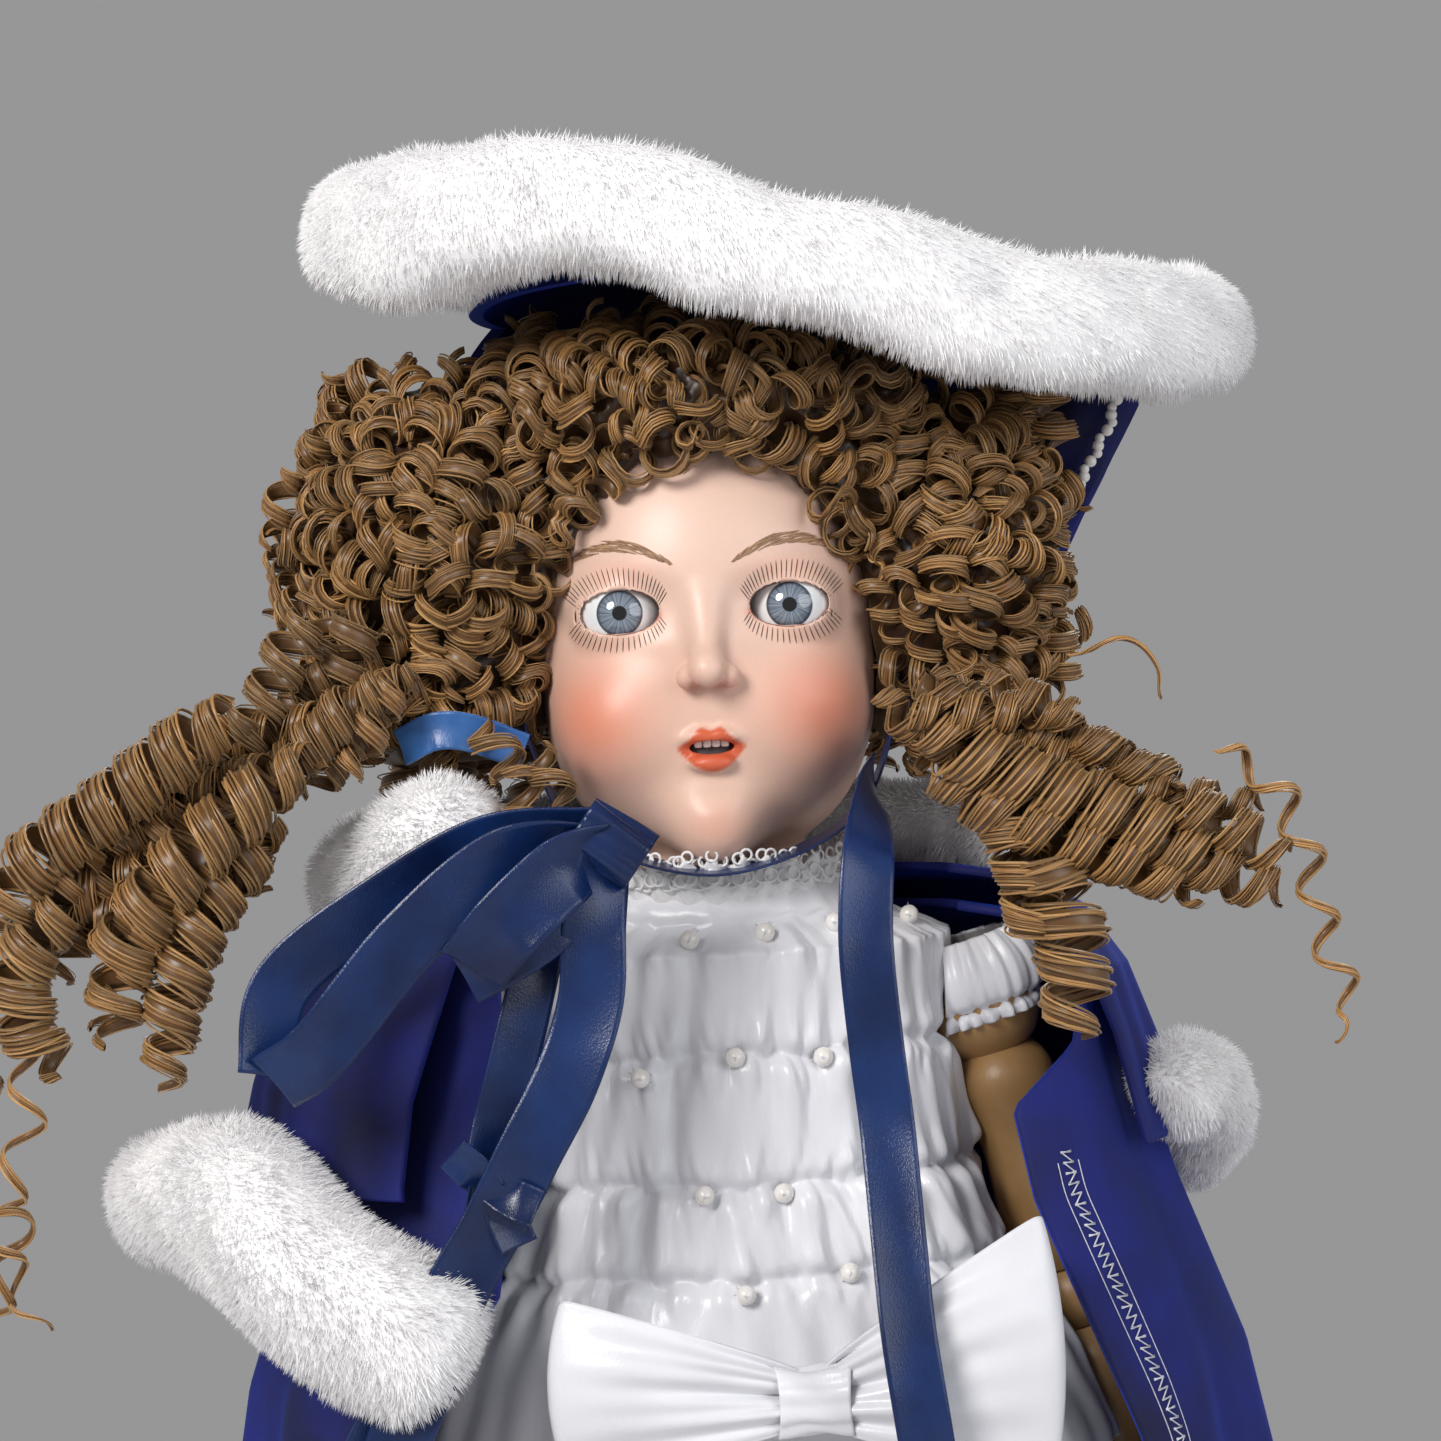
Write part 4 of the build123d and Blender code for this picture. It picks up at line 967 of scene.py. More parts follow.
def fur_roll(name, grid, count, length, flow, body, node, wrap_rows, blended=None):
    """A roll of plush fur: a soft core and the fibres on it."""
    rows, cols = grid.shape[:2]
    if wrap_rows:
        faces = ring_faces(rows, cols).tolist()
    else:
        faces = grid_faces(rows, cols, True).tolist()
        faces += [list(range(cols))[::-1], [(rows - 1) * cols + k for k in range(cols)]]
    core = piece(name, grid.reshape(-1, 3), faces, FUR, body)
    verts, tris = hairs(grid, count, length, flow, 0.17, 0.27, wrap_rows)
    pile = piece(name + "_pile", verts, tris, FUR, body, smooth=False)
    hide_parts(node)
    if blended:
        for obj in (core, pile):
            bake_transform(obj)
    return core


def roll_grid(path, radius, cols=30):
    """A lumpy roll along a path, as a grid."""
    _, side, up = frames_along(path)
    a = np.linspace(0, 2 * math.pi, cols, endpoint=False)
    s = np.linspace(0, 1, len(path))
    ends = np.clip(np.minimum(s, 1 - s) / 0.05, 0, 1) ** 0.5
    lump = 1 + 0.05 * np.sin(23 * s[:, None] + 2 * np.sin(a)) + 0.03 * np.sin(41 * s[:, None] + 3 * a)
    r = np.broadcast_to(np.asarray(radius, float), (len(path),))[:, None] * lump
    r = r * (0.25 + 0.75 * ends[:, None])
    round_it = np.cos(a)[None, :, None] * side[:, None] + np.sin(a)[None, :, None] * up[:, None]
    return path[:, None] + r[..., None] * round_it


# ------------------------------------------------------------------ bonnet
# the roll's upper and lower outline, as (x0, z0) on the plane y = 0
BRIM_TOP = [(-112, 682), (-103, 690), (-87, 696), (-66, 699), (-43, 699), (-18, 696), (6, 691)]
BRIM_TOP += [(28, 680), (45, 675.5), (63, 672.5), (78, 667), (91, 661), (105, 657.5), (120, 656)]
BRIM_TOP += [(134, 653), (146, 649), (158, 639)]
BRIM_LOW = [(-112, 658), (-98, 652), (-78, 648.5), (-66, 650), (-54, 654.5), (-34, 659), (-22, 657)]
BRIM_LOW += [(-11, 653), (6, 644.5), (29, 639.5), (52, 633), (66, 626), (77, 621.5), (103, 616)]
BRIM_LOW += [(132, 612), (146, 611), (158, 614)]


def bonnet():
    rows, cols = 220, 40
    th = np.linspace(0, 2 * math.pi, rows, endpoint=False)
    cx, cy, rx, ry = 24.0, 8.0, 121.0, 96.0
    x = cx + rx * np.cos(th)
    y = cy - ry * np.sin(th)
    k = nearness(y)
    x0 = VIEW_X + (x - VIEW_X) / k
    top = VIEW_Z + (np.interp(x0, *np.array(BRIM_TOP).T) - VIEW_Z) * k
    low = VIEW_Z + (np.interp(x0, *np.array(BRIM_LOW).T) - VIEW_Z) * k
    slope = math.tan(math.radians(9.7))
    tilt = 655 - slope * (x - cx)
    front = 1 / (1 + np.exp(-(np.sin(th) - 0.02) * 9))
    zc = front * (top + low) / 2 + (1 - front) * (tilt + 5)
    hz = front * (top - low) / 2 + (1 - front) * 17
    hz = np.maximum(hz - 1.5, 12)
    wr = 14.0 + 2.0 * np.sin(3 * th + 1)
    ends = np.abs(np.cos(th)) ** 8
    hz = hz * (1 - 0.12 * ends)
    a = np.linspace(0, 2 * math.pi, cols, endpoint=False)
    out = np.stack([np.cos(th), -np.sin(th) * rx / ry, 0 * th], 1)
    out /= np.linalg.norm(out, axis=1, keepdims=True)
    # the front leans: its top rolls back and its lower edge comes forward
    lean = 0.20 * front
    lump = 1 + 0.035 * np.sin(9 * th[:, None] + 2 * a) + 0.03 * np.sin(17 * th[:, None] - 3 * a)
    lump = lump + 0.015 * np.sin(37 * th[:, None] + 5 * a)
    ca, sa = np.cos(a)[None], np.sin(a)[None]
    square = (np.abs(ca) ** 2.6 + np.abs(sa) ** 2.6) ** (-1 / 2.6)
    h = sa * square * hz[:, None] * lump
    w = ca * square * wr[:, None] * lump - lean[:, None] * h
    base = np.stack([x, y, zc], 1)
    grid = base[:, None] + w[..., None] * out[:, None] + h[..., None] * np.array([0, 0, 1.0])
    roll = fur_roll("brim_fur", grid, 49000, 3.3, (0.0, 0.0, -0.75), "head", "bonnet_brim", True)
    # the velvet top that fills the brim, and its dark lining below
    rr = np.linspace(0.02, 1, 26)
    aa = np.linspace(0, 2 * math.pi, 96, endpoint=False)
    r2, a2 = np.meshgrid(rr, aa, indexing="ij")
    px = cx + (rx - 8) * r2 * np.cos(a2)
    py = cy + (ry - 8) * r2 * np.sin(a2)
    pz = 658 - slope * (px - cx) + 11 * (1 - r2**2) + 1.2 * np.sin(12 * a2) * r2 * (1 - r2) * 3
    top_grid = np.stack([px, py, pz], -1)
    cloth("bonnet_top", top_grid, 2.2, VELVET, "head", "stretched", ["brim_fur"], True)
    # the velvet side that shows at the right, edged with pearls
    rows = []
    for t in np.linspace(0, 1, 26):
        z0 = 626 - 62 * t
        right = np.interp(z0, [560, 571, 590, 612, 626], [100, 106, 117, 129, 131])
        left = np.interp(z0, [560, 626], [88, 84])
        row = []
        for s in np.linspace(0, 1, 16):
            x0 = left + (right - left) * s
            y0 = 16 - 14 * s - 5 * math.sin(math.pi * s) + 1.3 * math.sin(9 * t + 4 * s)
            row.append(seen(x0, z0, y0))
        rows.append(row)
    cloth("bonnet_side", np.array(rows), 2.0, VELVET, "head", "hung", ["brim_fur"])
    beads = Bundle()
    for i in range(22):
        t = i / 21
        bx = np.interp(t, [0, 0.35, 0.7, 1], [124, 121, 112, 103]) + 0.8 * math.sin(i * 1.7)
        bz = 624 - 46 * t
        centre = seen(bx, bz, -3)
        v, f = bead(centre, 1.75 if i % 2 else 1.45)
        beads.add(v, f)
    string = beads.make("bonnet_beads", PEARL, "head", "pearl")
    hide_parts("bonnet_pearls")
    set_material("bonnet_crown", VELVET)


def bead(centre, radius, rings=9, around=16):
    u = np.linspace(0.02, math.pi - 0.02, rings)
    a = np.linspace(0, 2 * math.pi, around, endpoint=False)
    uu, aa = np.meshgrid(u, a, indexing="ij")
    ball = np.stack([np.sin(uu) * np.cos(aa), np.sin(uu) * np.sin(aa), np.cos(uu)], -1)
    pts = ball * radius + np.array(centre)
    faces = grid_faces(rings, around, True)[:, ::-1].tolist()
    faces += [list(range(around)), [(rings - 1) * around + k for k in range(around)][::-1]]
    return pts.reshape(-1, 3), faces


bonnet()


# ------------------------------------------------------------------ dress
CHEST_X, WAIST_Z, SQUASH = 61.5, 322.0, 0.78


def dress_x(z):
    return CHEST_X + 23.0 * np.maximum(0.0, (450.0 - z) / (450.0 - WAIST_Z)) ** 1.7


def front_swell(y, z):
    """How far the skirt's fullness reaches out in front of the arms."""
    ease = np.clip((-y - 14) / 7, 0, 1)
    reach = np.interp(z, [168, 250, 322, 345, 378, 402], [4, 16, 22, 19, 7, 0])
    return reach * ease * ease * (3 - 2 * ease)


def bodice():
    zs = np.concatenate([np.linspace(481, 463, 16), np.linspace(462, WAIST_Z - 4, 170)])
    aa = np.linspace(0, 2 * math.pi, 520, endpoint=False)
    z, a = np.meshgrid(zs, aa, indexing="ij")
    rows_z = [468.5, 434.0, 398.5, 373.5]
    neck = np.interp(z, [462, 470, 481], [60.5, 48, 40])
    half = np.where(z > 462, neck, dress_x(np.minimum(z, 462)))
    # gathered rows: the cloth pinches in at each and puffs between them
    pinch = np.zeros_like(z)
    ruff = np.zeros_like(z)
    for rz in rows_z:
        wob = rz + 0.9 * np.sin(7 * a + rz) + 0.5 * np.sin(17 * a)
        pinch += np.exp(-(((z - wob) / 2.6) ** 2))
        ruff += np.exp(-(((z - wob) / 9.0) ** 2))
    folds = np.zeros_like(z)
    for z1, z2 in ((481, 468.5), (468.5, 434), (434, 398.5), (398.5, 373.5), (373.5, 310)):
        inside = 1 / (1 + np.exp(-(z - z2) * 1.6)) * 1 / (1 + np.exp((z - z1) * 1.6))
        sum_f = np.zeros_like(z)
        for _ in range(9):
            freq = rng.integers(14, 52)
            warp = 0.9 * np.sin(0.11 * z + rng.uniform(0, 6.3)) + 1.3 * np.sin(3 * a + rng.uniform(0, 6.3))
            amp = rng.uniform(0.18, 0.42)
            sum_f += amp * np.sin(freq * a + rng.uniform(0, 6.3) + warp)
        folds += inside * sum_f
    fine = 0.30 * np.sin(88 * a + 1.4 * np.sin(0.35 * z + 5 * a)) + 0.2 * np.sin(121 * a + 0.3 * z)
    shoulder = np.clip((470 - z) / 8, 0, 1)
    r = 2.9 - 2.7 * pinch + (folds * 1.7 * (0.5 + 0.6 * ruff) + fine * ruff * 1.1) * shoulder
    y = (SQUASH * half + r + 0.8) * np.sin(a)
    x = (half + r + front_swell(y, z)) * np.cos(a)
    grid = np.stack([x, y, z + 0.5 * folds * ruff], -1)
    # armholes: the cloth stops short of the shoulder's axis
    away = np.hypot(grid[..., 1], grid[..., 2] - 440)
    pull = np.clip(1 - away / 17.5, 0, 1) * (np.abs(grid[..., 0]) > 40)
    grid[..., 0] -= np.sign(grid[..., 0]) * pull * 9.0
    cloth(
        "bodice_satin", grid, 0.9, SATIN, "torso", "gathered", ["torso"], True, "dress_bodice"
    )
    return grid[:, aa > math.pi].reshape(-1, 3)


BODICE_FRONT = bodice()


def on_bodice(x0, z0, lift):
    """A point just in front of the bodice that lines up with (x0, z0) as the eye sees it."""
    front = BODICE_FRONT
    y = -60.0
    for _ in range(6):
        px, _, pz = seen(x0, z0, y)
        d = (front[:, 0] - px) ** 2 + (front[:, 2] - pz) ** 2
        y = front[np.argsort(d)[:12], 1].min() - lift
    return seen(x0, z0, y)


def pearls():
    beads = Bundle()
    stitches = Bundle()
    spots = [(-9.5, 463), (12.5, 464), (33, 466), (54.5, 467), (-26, 423.5), (2, 428), (27.5, 427), (-9, 388.5)]
    spots += [(14, 388), (1.5, 359), (32, 364)]
    for x0, z0 in spots:
        centre = on_bodice(x0, z0, 2.6)
        v, f = bead(centre, 2.75, 13, 24)
        beads.add(v, f)
        for _ in range(3):
            d = rng.normal(0, 1, 3) * np.array([1, 0.15, 1])
            d /= np.linalg.norm(d)
            c = np.array(centre)
            spots_3 = [c - d * 3.4 + [0, 1.6, 0], c + [0, -2.9, 0], c + d * 3.4 + [0, 1.6, 0]]
            v, f = tube(smooth_path(spots_3, 9), 0.14, 4)
            stitches.add(v, f)
    made = beads.make("bodice_beads", PEARL, "torso", "pearl")
    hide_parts("bodice_pearls")
    stitches.make("pearl_threads", THREAD, "torso", "pearl")


pearls()


def skirt():
    for side, node, joint in ((-1, "skirt_l", "hip_swing_l"), (1, "skirt_r", "hip_swing_r")):
        zs = np.linspace(WAIST_Z + 3, 168, 70)
        aa = np.linspace(-math.pi / 2, math.pi / 2, 260)
        z, a = np.meshgrid(zs, aa, indexing="ij")
        half = np.interp(z, [168, 215, 255, 290, 322, 326], [113, 102, 97, 91, 84.5, 84.0])
        drop = np.clip((WAIST_Z - z) / 60, 0, 1)
        fold = 1.7 * np.sin(25 * a + 0.6) + 1.1 * np.sin(41 * a + 1.0) + 0.7 * np.sin(67 * a)
        edge = np.cos(a) ** 0.12
        gather = 0.5 * np.sin(110 * a) * (1 - drop)
        r = (fold * (0.35 + 0.9 * drop) + gather) * edge - 0.5
        y = (SQUASH * half + r) * np.sin(a)
        x = side * ((half + r + front_swell(y, z)) * np.cos(a) + 0.15)
        grid = np.stack([x, y, z], -1)
        obj = cloth(
            "satin_" + node, grid, 0.9, SATIN, "torso", "gathered", ["torso"], False, node
        )
        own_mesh(obj)


skirt()


def collar():
    aa = np.linspace(0, 2 * math.pi, 720, endpoint=False)
    ts = np.linspace(0, 1, 16)
    t, a = np.meshgrid(ts, aa, indexing="ij")
    wave = np.sin(34 * a + 0.7 * np.sin(5 * a)) * (0.4 + 1.5 * t)
    scallop = 1.6 * np.abs(np.sin(26 * a)) * t**3
    r = 37 + 6.0 * t + wave * 0.9
    z = 470.5 + 15.0 * t + scallop + 0.6 * wave
    grid = np.stack([r * np.cos(a), r * np.sin(a) * 0.98, z], -1)
    cloth(
        "lace_ruffle", grid, 0.7, LACE, "torso", "gathered", ["bodice_satin"], True, "lace_collar"
    )
    picots = Bundle()
    loops = 118
    b = np.linspace(0, 2 * math.pi, 12, endpoint=False)
    c = np.linspace(0, 2 * math.pi, 5, endpoint=False)
    for k in range(loops):
        a0 = 2 * math.pi * k / loops
        col = int(k / loops * len(aa))
        top = grid[-1, col]
        low = grid[7, col]
        tang = np.array([-math.sin(a0), math.cos(a0), 0])
        outn = np.array([math.cos(a0), math.sin(a0), 0])
        for centre, rr in ((top + [0, 0, 0.9], 1.55), (0.5 * (top + low) + 0.9 * outn, 1.9)):
            loop = centre + rr * (np.cos(b)[:, None] * tang + np.sin(b)[:, None] * np.array([0, 0, 1.0]))
            radial = (loop - centre) / rr
            thread = np.cos(c)[None, :, None] * radial[:, None] + np.sin(c)[None, :, None] * outn
            picots.add((loop[:, None] + 0.42 * thread).reshape(-1, 3), ring_faces(12, 5))
    picots.make("lace_loops", LACE, "torso", "white_lace")


collar()


def waist_bow():
    y0, knot_x, knot_z = -86.0, 19.8, 327.8
    knot = np.array(seen(knot_x, knot_z, y0))
    for name, reach, z_lo, z_hi in (("l", -77.0, 306.0, 361.0), ("r", 73.0, 300.0, 379.0)):
        us = np.linspace(0, 1, 70)
        vs = np.linspace(-1, 1, 44)
        u, v = np.meshgrid(us, vs, indexing="ij")
        out = np.sin(math.pi * u) ** 0.75
        smooth_back = 1 / (1 + np.exp(-(u - 0.5) * 26))
        x0 = knot_x + reach * out * (1 - 0.06 * v**2)
        mid = knot_z * (1 - out) + out * (z_lo + z_hi) / 2
        half = 6.5 + ((z_hi - z_lo) / 2 - 6.5) * out**0.85
        z0 = mid + half * v * (1 - 0.15 * smooth_back)
        crease = (2.6 * np.sin(2.4 * math.pi * v + 1.0) + 1.5 * np.sin(5.5 * math.pi * v)) * (1 - out) * 0.75
        billow = -7.0 * np.sin(math.pi * out * 0.9) * np.cos(v * 1.2) + 1.3 * np.sin(3 * v + 5 * out)
        y = y0 + np.where(u > 0.5, 3.0, -1.0) + (smooth_back - 0.5) * 6 * np.clip(out * 2, 0, 1)
        y = y + crease + billow * (1 - 0.7 * smooth_back)
        grid = np.stack(seen(x0, z0, y), -1)
        loop = cloth("bow_loop_" + name, grid, 0.8, SATIN, "torso", "folded", ["bodice_satin"])
        if name == "l":
            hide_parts("waist_bow")
    aa = np.linspace(0, 2 * math.pi, 60, endpoint=False)
    ts = np.linspace(-1, 1, 26)
    t, a = np.meshgrid(ts, aa, indexing="ij")
    r = 1 + 0.06 * np.sin(9 * a) + 0.05 * np.sin(4 * t + 3 * a)
    x = knot[0] + 10.5 * t * (1 + 0.12 * np.sin(a))
    y = knot[1] - 1 + 6.5 * r * np.sin(a)
    z = knot[2] + (9.5 - 1.2 * np.cos(1.2 * t)) * r * np.cos(a)
    rests = ["bow_loop_l", "bow_loop_r"]
    cloth("bow_knot", np.stack([x, y, z], -1), 0.8, SATIN, "torso", "folded", rests, True)


waist_bow()


def sleeves():
    for side, body, node in ((-1, "upper_arm_l", "sleeve_l"), (1, "upper_arm_r", "sleeve_r")):
        splay = math.radians(15)
        centre = np.array([side * 74.0, 0.0, 440.0])
        down = np.array([side * math.sin(splay), 0, -math.cos(splay)])
        wide = np.array([math.cos(splay), 0, side * math.sin(splay)])
        aa = np.linspace(0, 2 * math.pi, 260, endpoint=False)
        ts = np.linspace(0, 1, 40)
        t, a = np.meshgrid(ts, aa, indexing="ij")
        s = -20 + 24 * t
        r = 20.5 * np.sin(np.clip(0.18 + 0.62 * t, 0, 1) * math.pi) ** 0.55
        fold = (0.8 * np.sin(19 * a) + 0.5 * np.sin(31 * a + 1)) * (0.5 + 0.6 * np.cos(math.pi * t) ** 2)
        frill = np.clip((t - 0.82) / 0.18, 0, 1)
        r = r - 2.4 * np.exp(-(((t - 0.82) / 0.05) ** 2)) + fold + frill * 1.6 * np.sin(24 * a) + frill * 2.0
        around = np.cos(a)[..., None] * wide + np.sin(a)[..., None] * np.array([0, 1.0, 0])
        pts = centre + s[..., None] * down + r[..., None] * around
        pts[..., 0] = np.where(side * pts[..., 0] < 63.0, side * 63.0, pts[..., 0])
        rests = ["bodice_satin"]
        cloth("satin_" + node, pts, 0.8, SATIN, body, "gathered", rests, True, node)


sleeves()


# ------------------------------------------------------------------ coat, cape and their fur
HALVES = ((-1, "l"), (1, "r"))


def shoulder_blend(side, letter):
    """The torso and the upper arm, with a point near the neck and one further out at the shoulder."""
    return ("torso", "upper_arm_" + letter, (side * 0.062, 0, 0.44), (side * 0.135, 0, 0.44))


COAT_EDGE_L = [(480, -62), (461, -66), (391, -67), (362, -71), (322, -98), (295, -106), (150, -116)]
COAT_EDGE_R = [(480, 90), (440, 104), (427, 102), (409, 83), (382, 88), (359, 97), (311, 116)]
COAT_EDGE_R += [(290, 120), (150, 128)]
CAPE_EDGE_L = [(485, -66), (461, -77), (420, -92), (395, -96)]
CAPE_EDGE_R = [(485, 92), (455, 103), (430, 112), (395, 120)]


def mantle(name, side, outline, squash, edge, wall, z_top, z_low, folds, node, rests, extra):
    """Half of a garment that hangs from the shoulders: from the front edge round to the middle of the back."""
    zs = np.linspace(z_top, z_low, 110)
    widths = np.array(outline)
    half = np.interp(-zs, -widths[:, 1], widths[:, 0])
    edge_z, edge_x = np.array(edge).T
    cols = 240
    grid = np.zeros((len(zs), cols, 3))
    for i, (z, h) in enumerate(zip(zs, half)):
        depth = squash * h
        lo_a = math.pi / 2
        hi_a = 1.0
        # the front edge's angle, where its x as seen by the eye meets the outline
        for _ in range(5):
            k = nearness(-depth * math.sin(hi_a))
            seen_z = VIEW_Z + (z - VIEW_Z) / k
            target = abs(VIEW_X + (side * abs(np.interp(-seen_z, -edge_z, edge_x)) - VIEW_X) * k)
            hi_a = math.acos(min(0.995, target / h))
        a = np.linspace(-hi_a, lo_a, cols)
        grow = np.clip((z_top - z) / (z_top - z_low), 0, 1)
        edge_soft = np.clip(np.minimum(a + hi_a, lo_a - a) / 0.12, 0, 1)
        fold = sum(amp * np.sin(freq * a + ph + 0.5 * grow) for freq, amp, ph in folds)
        fold = fold * (0.25 + 1.1 * grow) * edge_soft
        hem = 0.8 * np.sin(29 * a + 4 * grow) * grow * edge_soft
        r = fold + hem + extra
        grid[i, :, 0] = side * ((h + r) * np.cos(a) + 0.2)
        grid[i, :, 1] = (depth + r) * np.sin(a)
        grid[i, :, 2] = z
    grid[..., 0] = side * np.maximum(side * grid[..., 0], 0.15)
    obj = cloth(name, grid, wall, VELVET, None, "draped", rests, False, node)
    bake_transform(obj)
    return grid


def coat():
    seam = Bundle()
    coat_outline = [(70, 469), (94, 464), (108, 452), (115, 430), (125, 390), (142, 340), (154, 270)]
    coat_outline += [(160, 160)]
    cape_outline = [(66, 480), (92, 475), (112, 466), (127, 450), (134, 428), (140, 402)]
    for side, letter in HALVES:
        folds = [(5, 3.2, 0.5 * side), (9, 2.2, 1.0), (15, 1.2, 2.0)]
        grid = mantle(
            "velvet_coat_" + letter, side, coat_outline, 0.66, COAT_EDGE_L if side < 0 else COAT_EDGE_R,
            2.4, 469, 160, folds, "coat_" + letter, ["bodice_satin", "satin_sleeve_" + letter], -1.5,
        )
        small = [(6, 1.6, 0.8), (11, 1.0, 0.2)]
        if side > 0:
            cape_outline = [(66, 480), (88, 476), (103, 467), (114, 450), (121, 428), (127, 402)]
        mantle(
            "velvet_cape_" + letter, side, cape_outline, 0.66, CAPE_EDGE_L if side < 0 else CAPE_EDGE_R,
            2.2, 480, 402, small, "capelet_" + letter, ["velvet_coat_" + letter], 0.5,
        )
        if side > 0:
            # a zigzag of white thread a little in from the right front edge
            n = 150
            for i in range(n):
                z = 405 - 115 * i / n
                row = int(round((469 - z) / 309 * 109))
                col = 11 if i % 2 else 15
                p = grid[row, col] + np.array([0.2, -1.9, 0])
                q_row = min(109, int(round((469 - (z - 115 / n)) / 309 * 109)))
                q = grid[q_row, 15 if i % 2 else 11] + np.array([0.2, -1.9, -0.4])
                v, f = tube(smooth_path([p, (p + q) / 2 + [0, -0.25, 0], q], 5), 0.22, 5)
                seam.add(v, f)
            for col in (9, 17):
                path = grid[24:64, col] + np.array([0.2, -1.75, 0])
                v, f = tube(smooth_path(path[::3], 60), 0.16, 5)
                seam.add(v, f)
    zigzag = seam.make("coat_stitching", THREAD, None, "blue_velvet")
    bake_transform(zigzag)


coat()


def coat_fur():
    # the cape's hem at the left, then at the right, then the roll round the neck
    left = [seen(-82, 341, -97), seen(-100, 354, -98), seen(-122, 368, -90), seen(-142, 392, -66)]
    left += [(-157, -35, 402), (-160, 0, 392), (-150, 40, 388), (-128, 68, 387), (-90, 92, 387)]
    left += [(-50, 103, 387), (-0.6, 107, 387)]
    right = [seen(124, 403, -20), seen(130, 414, -12), (137, 4, 412), (139, 20, 399), (134, 44, 390)]
    right += [(118, 68, 388), (86, 90, 387), (50, 103, 387), (0.6, 107, 387)]
    neck = [seen(-64, 505, -50), seen(-84, 494, -44), seen(-97, 482, -28), (-98, 0, 488), (-82, 34, 490)]
    neck += [(-44, 60, 491), (0, 68, 491), (44, 60, 491), (80, 34, 490), (94, 4, 488), seen(92, 486, -14)]
    for name, points, count, places, radii, hairs_n, length, flow, body, node, blended in (
        ("cape_fur_l", left, 150, [0, 0.12, 0.3, 0.45, 1], [19, 21, 21, 15, 13.5],
         44000, 3.6, (0.05, 0, -0.55), None, "fur_hem_l", shoulder_blend(-1, "l")),
        ("cape_fur_r", right, 130, [0, 0.06, 0.2, 1], [12, 13.5, 13, 13.5],
         34000, 3.6, (-0.05, 0, -0.55), None, "fur_hem_r", shoulder_blend(1, "r")),
        ("collar_fur", neck, 150, [0, 0.1, 0.2, 0.4, 0.9, 1], [12, 17, 17, 14, 13, 10],
         40000, 3.4, (0, 0, -0.35), "torso", "fur_collar", None),
    ):
        radius = np.interp(np.linspace(0, 1, count), places, radii)
        grid = roll_grid(smooth_path(points, count), radius)
        roll = fur_roll(name, grid, hairs_n, length, flow, body, node, False, blended)


coat_fur()


# ------------------------------------------------------------------ navy ribbons
def band(name, spots, width, body, lean, node=None, held="hung", rests=(), count=90, cup=0.8):
    """A satin ribbon along points; width runs across the path as the eye sees it."""
    path = smooth_path(spots, count)
    tangent = np.gradient(path, axis=0)
    tangent /= np.linalg.norm(tangent, axis=1, keepdims=True)
    look = np.array([0.0, -1.0, 0.0])
    across = np.cross(tangent, look)
    size = np.linalg.norm(across, axis=1, keepdims=True)
    across = across / (size + 1e-6)
    for i in range(1, count):
        if np.dot(across[i], across[i - 1]) < 0:
            across[i] *= -1
    s = np.linspace(0, 1, count)
    roll = np.interp(s, np.linspace(0, 1, len(lean)), lean)
    normal = np.cross(across, tangent)
    wide = np.cos(roll)[:, None] * across + np.sin(roll)[:, None] * normal
    face = np.cross(wide, tangent)
    v = np.linspace(-0.5, 0.5, 13)
    grid = path[:, None] + width * v[None, :, None] * wide[:, None]
    grid = grid + cup * (v[None, :, None] ** 2 * 4) * face[:, None]
    grid += 0.35 * np.sin(s * 40)[:, None, None] * (np.abs(v) ** 2)[None, :, None] * face[:, None]
    return cloth(name, grid, 0.6, RIBBON, body, held, list(rests), False, node)


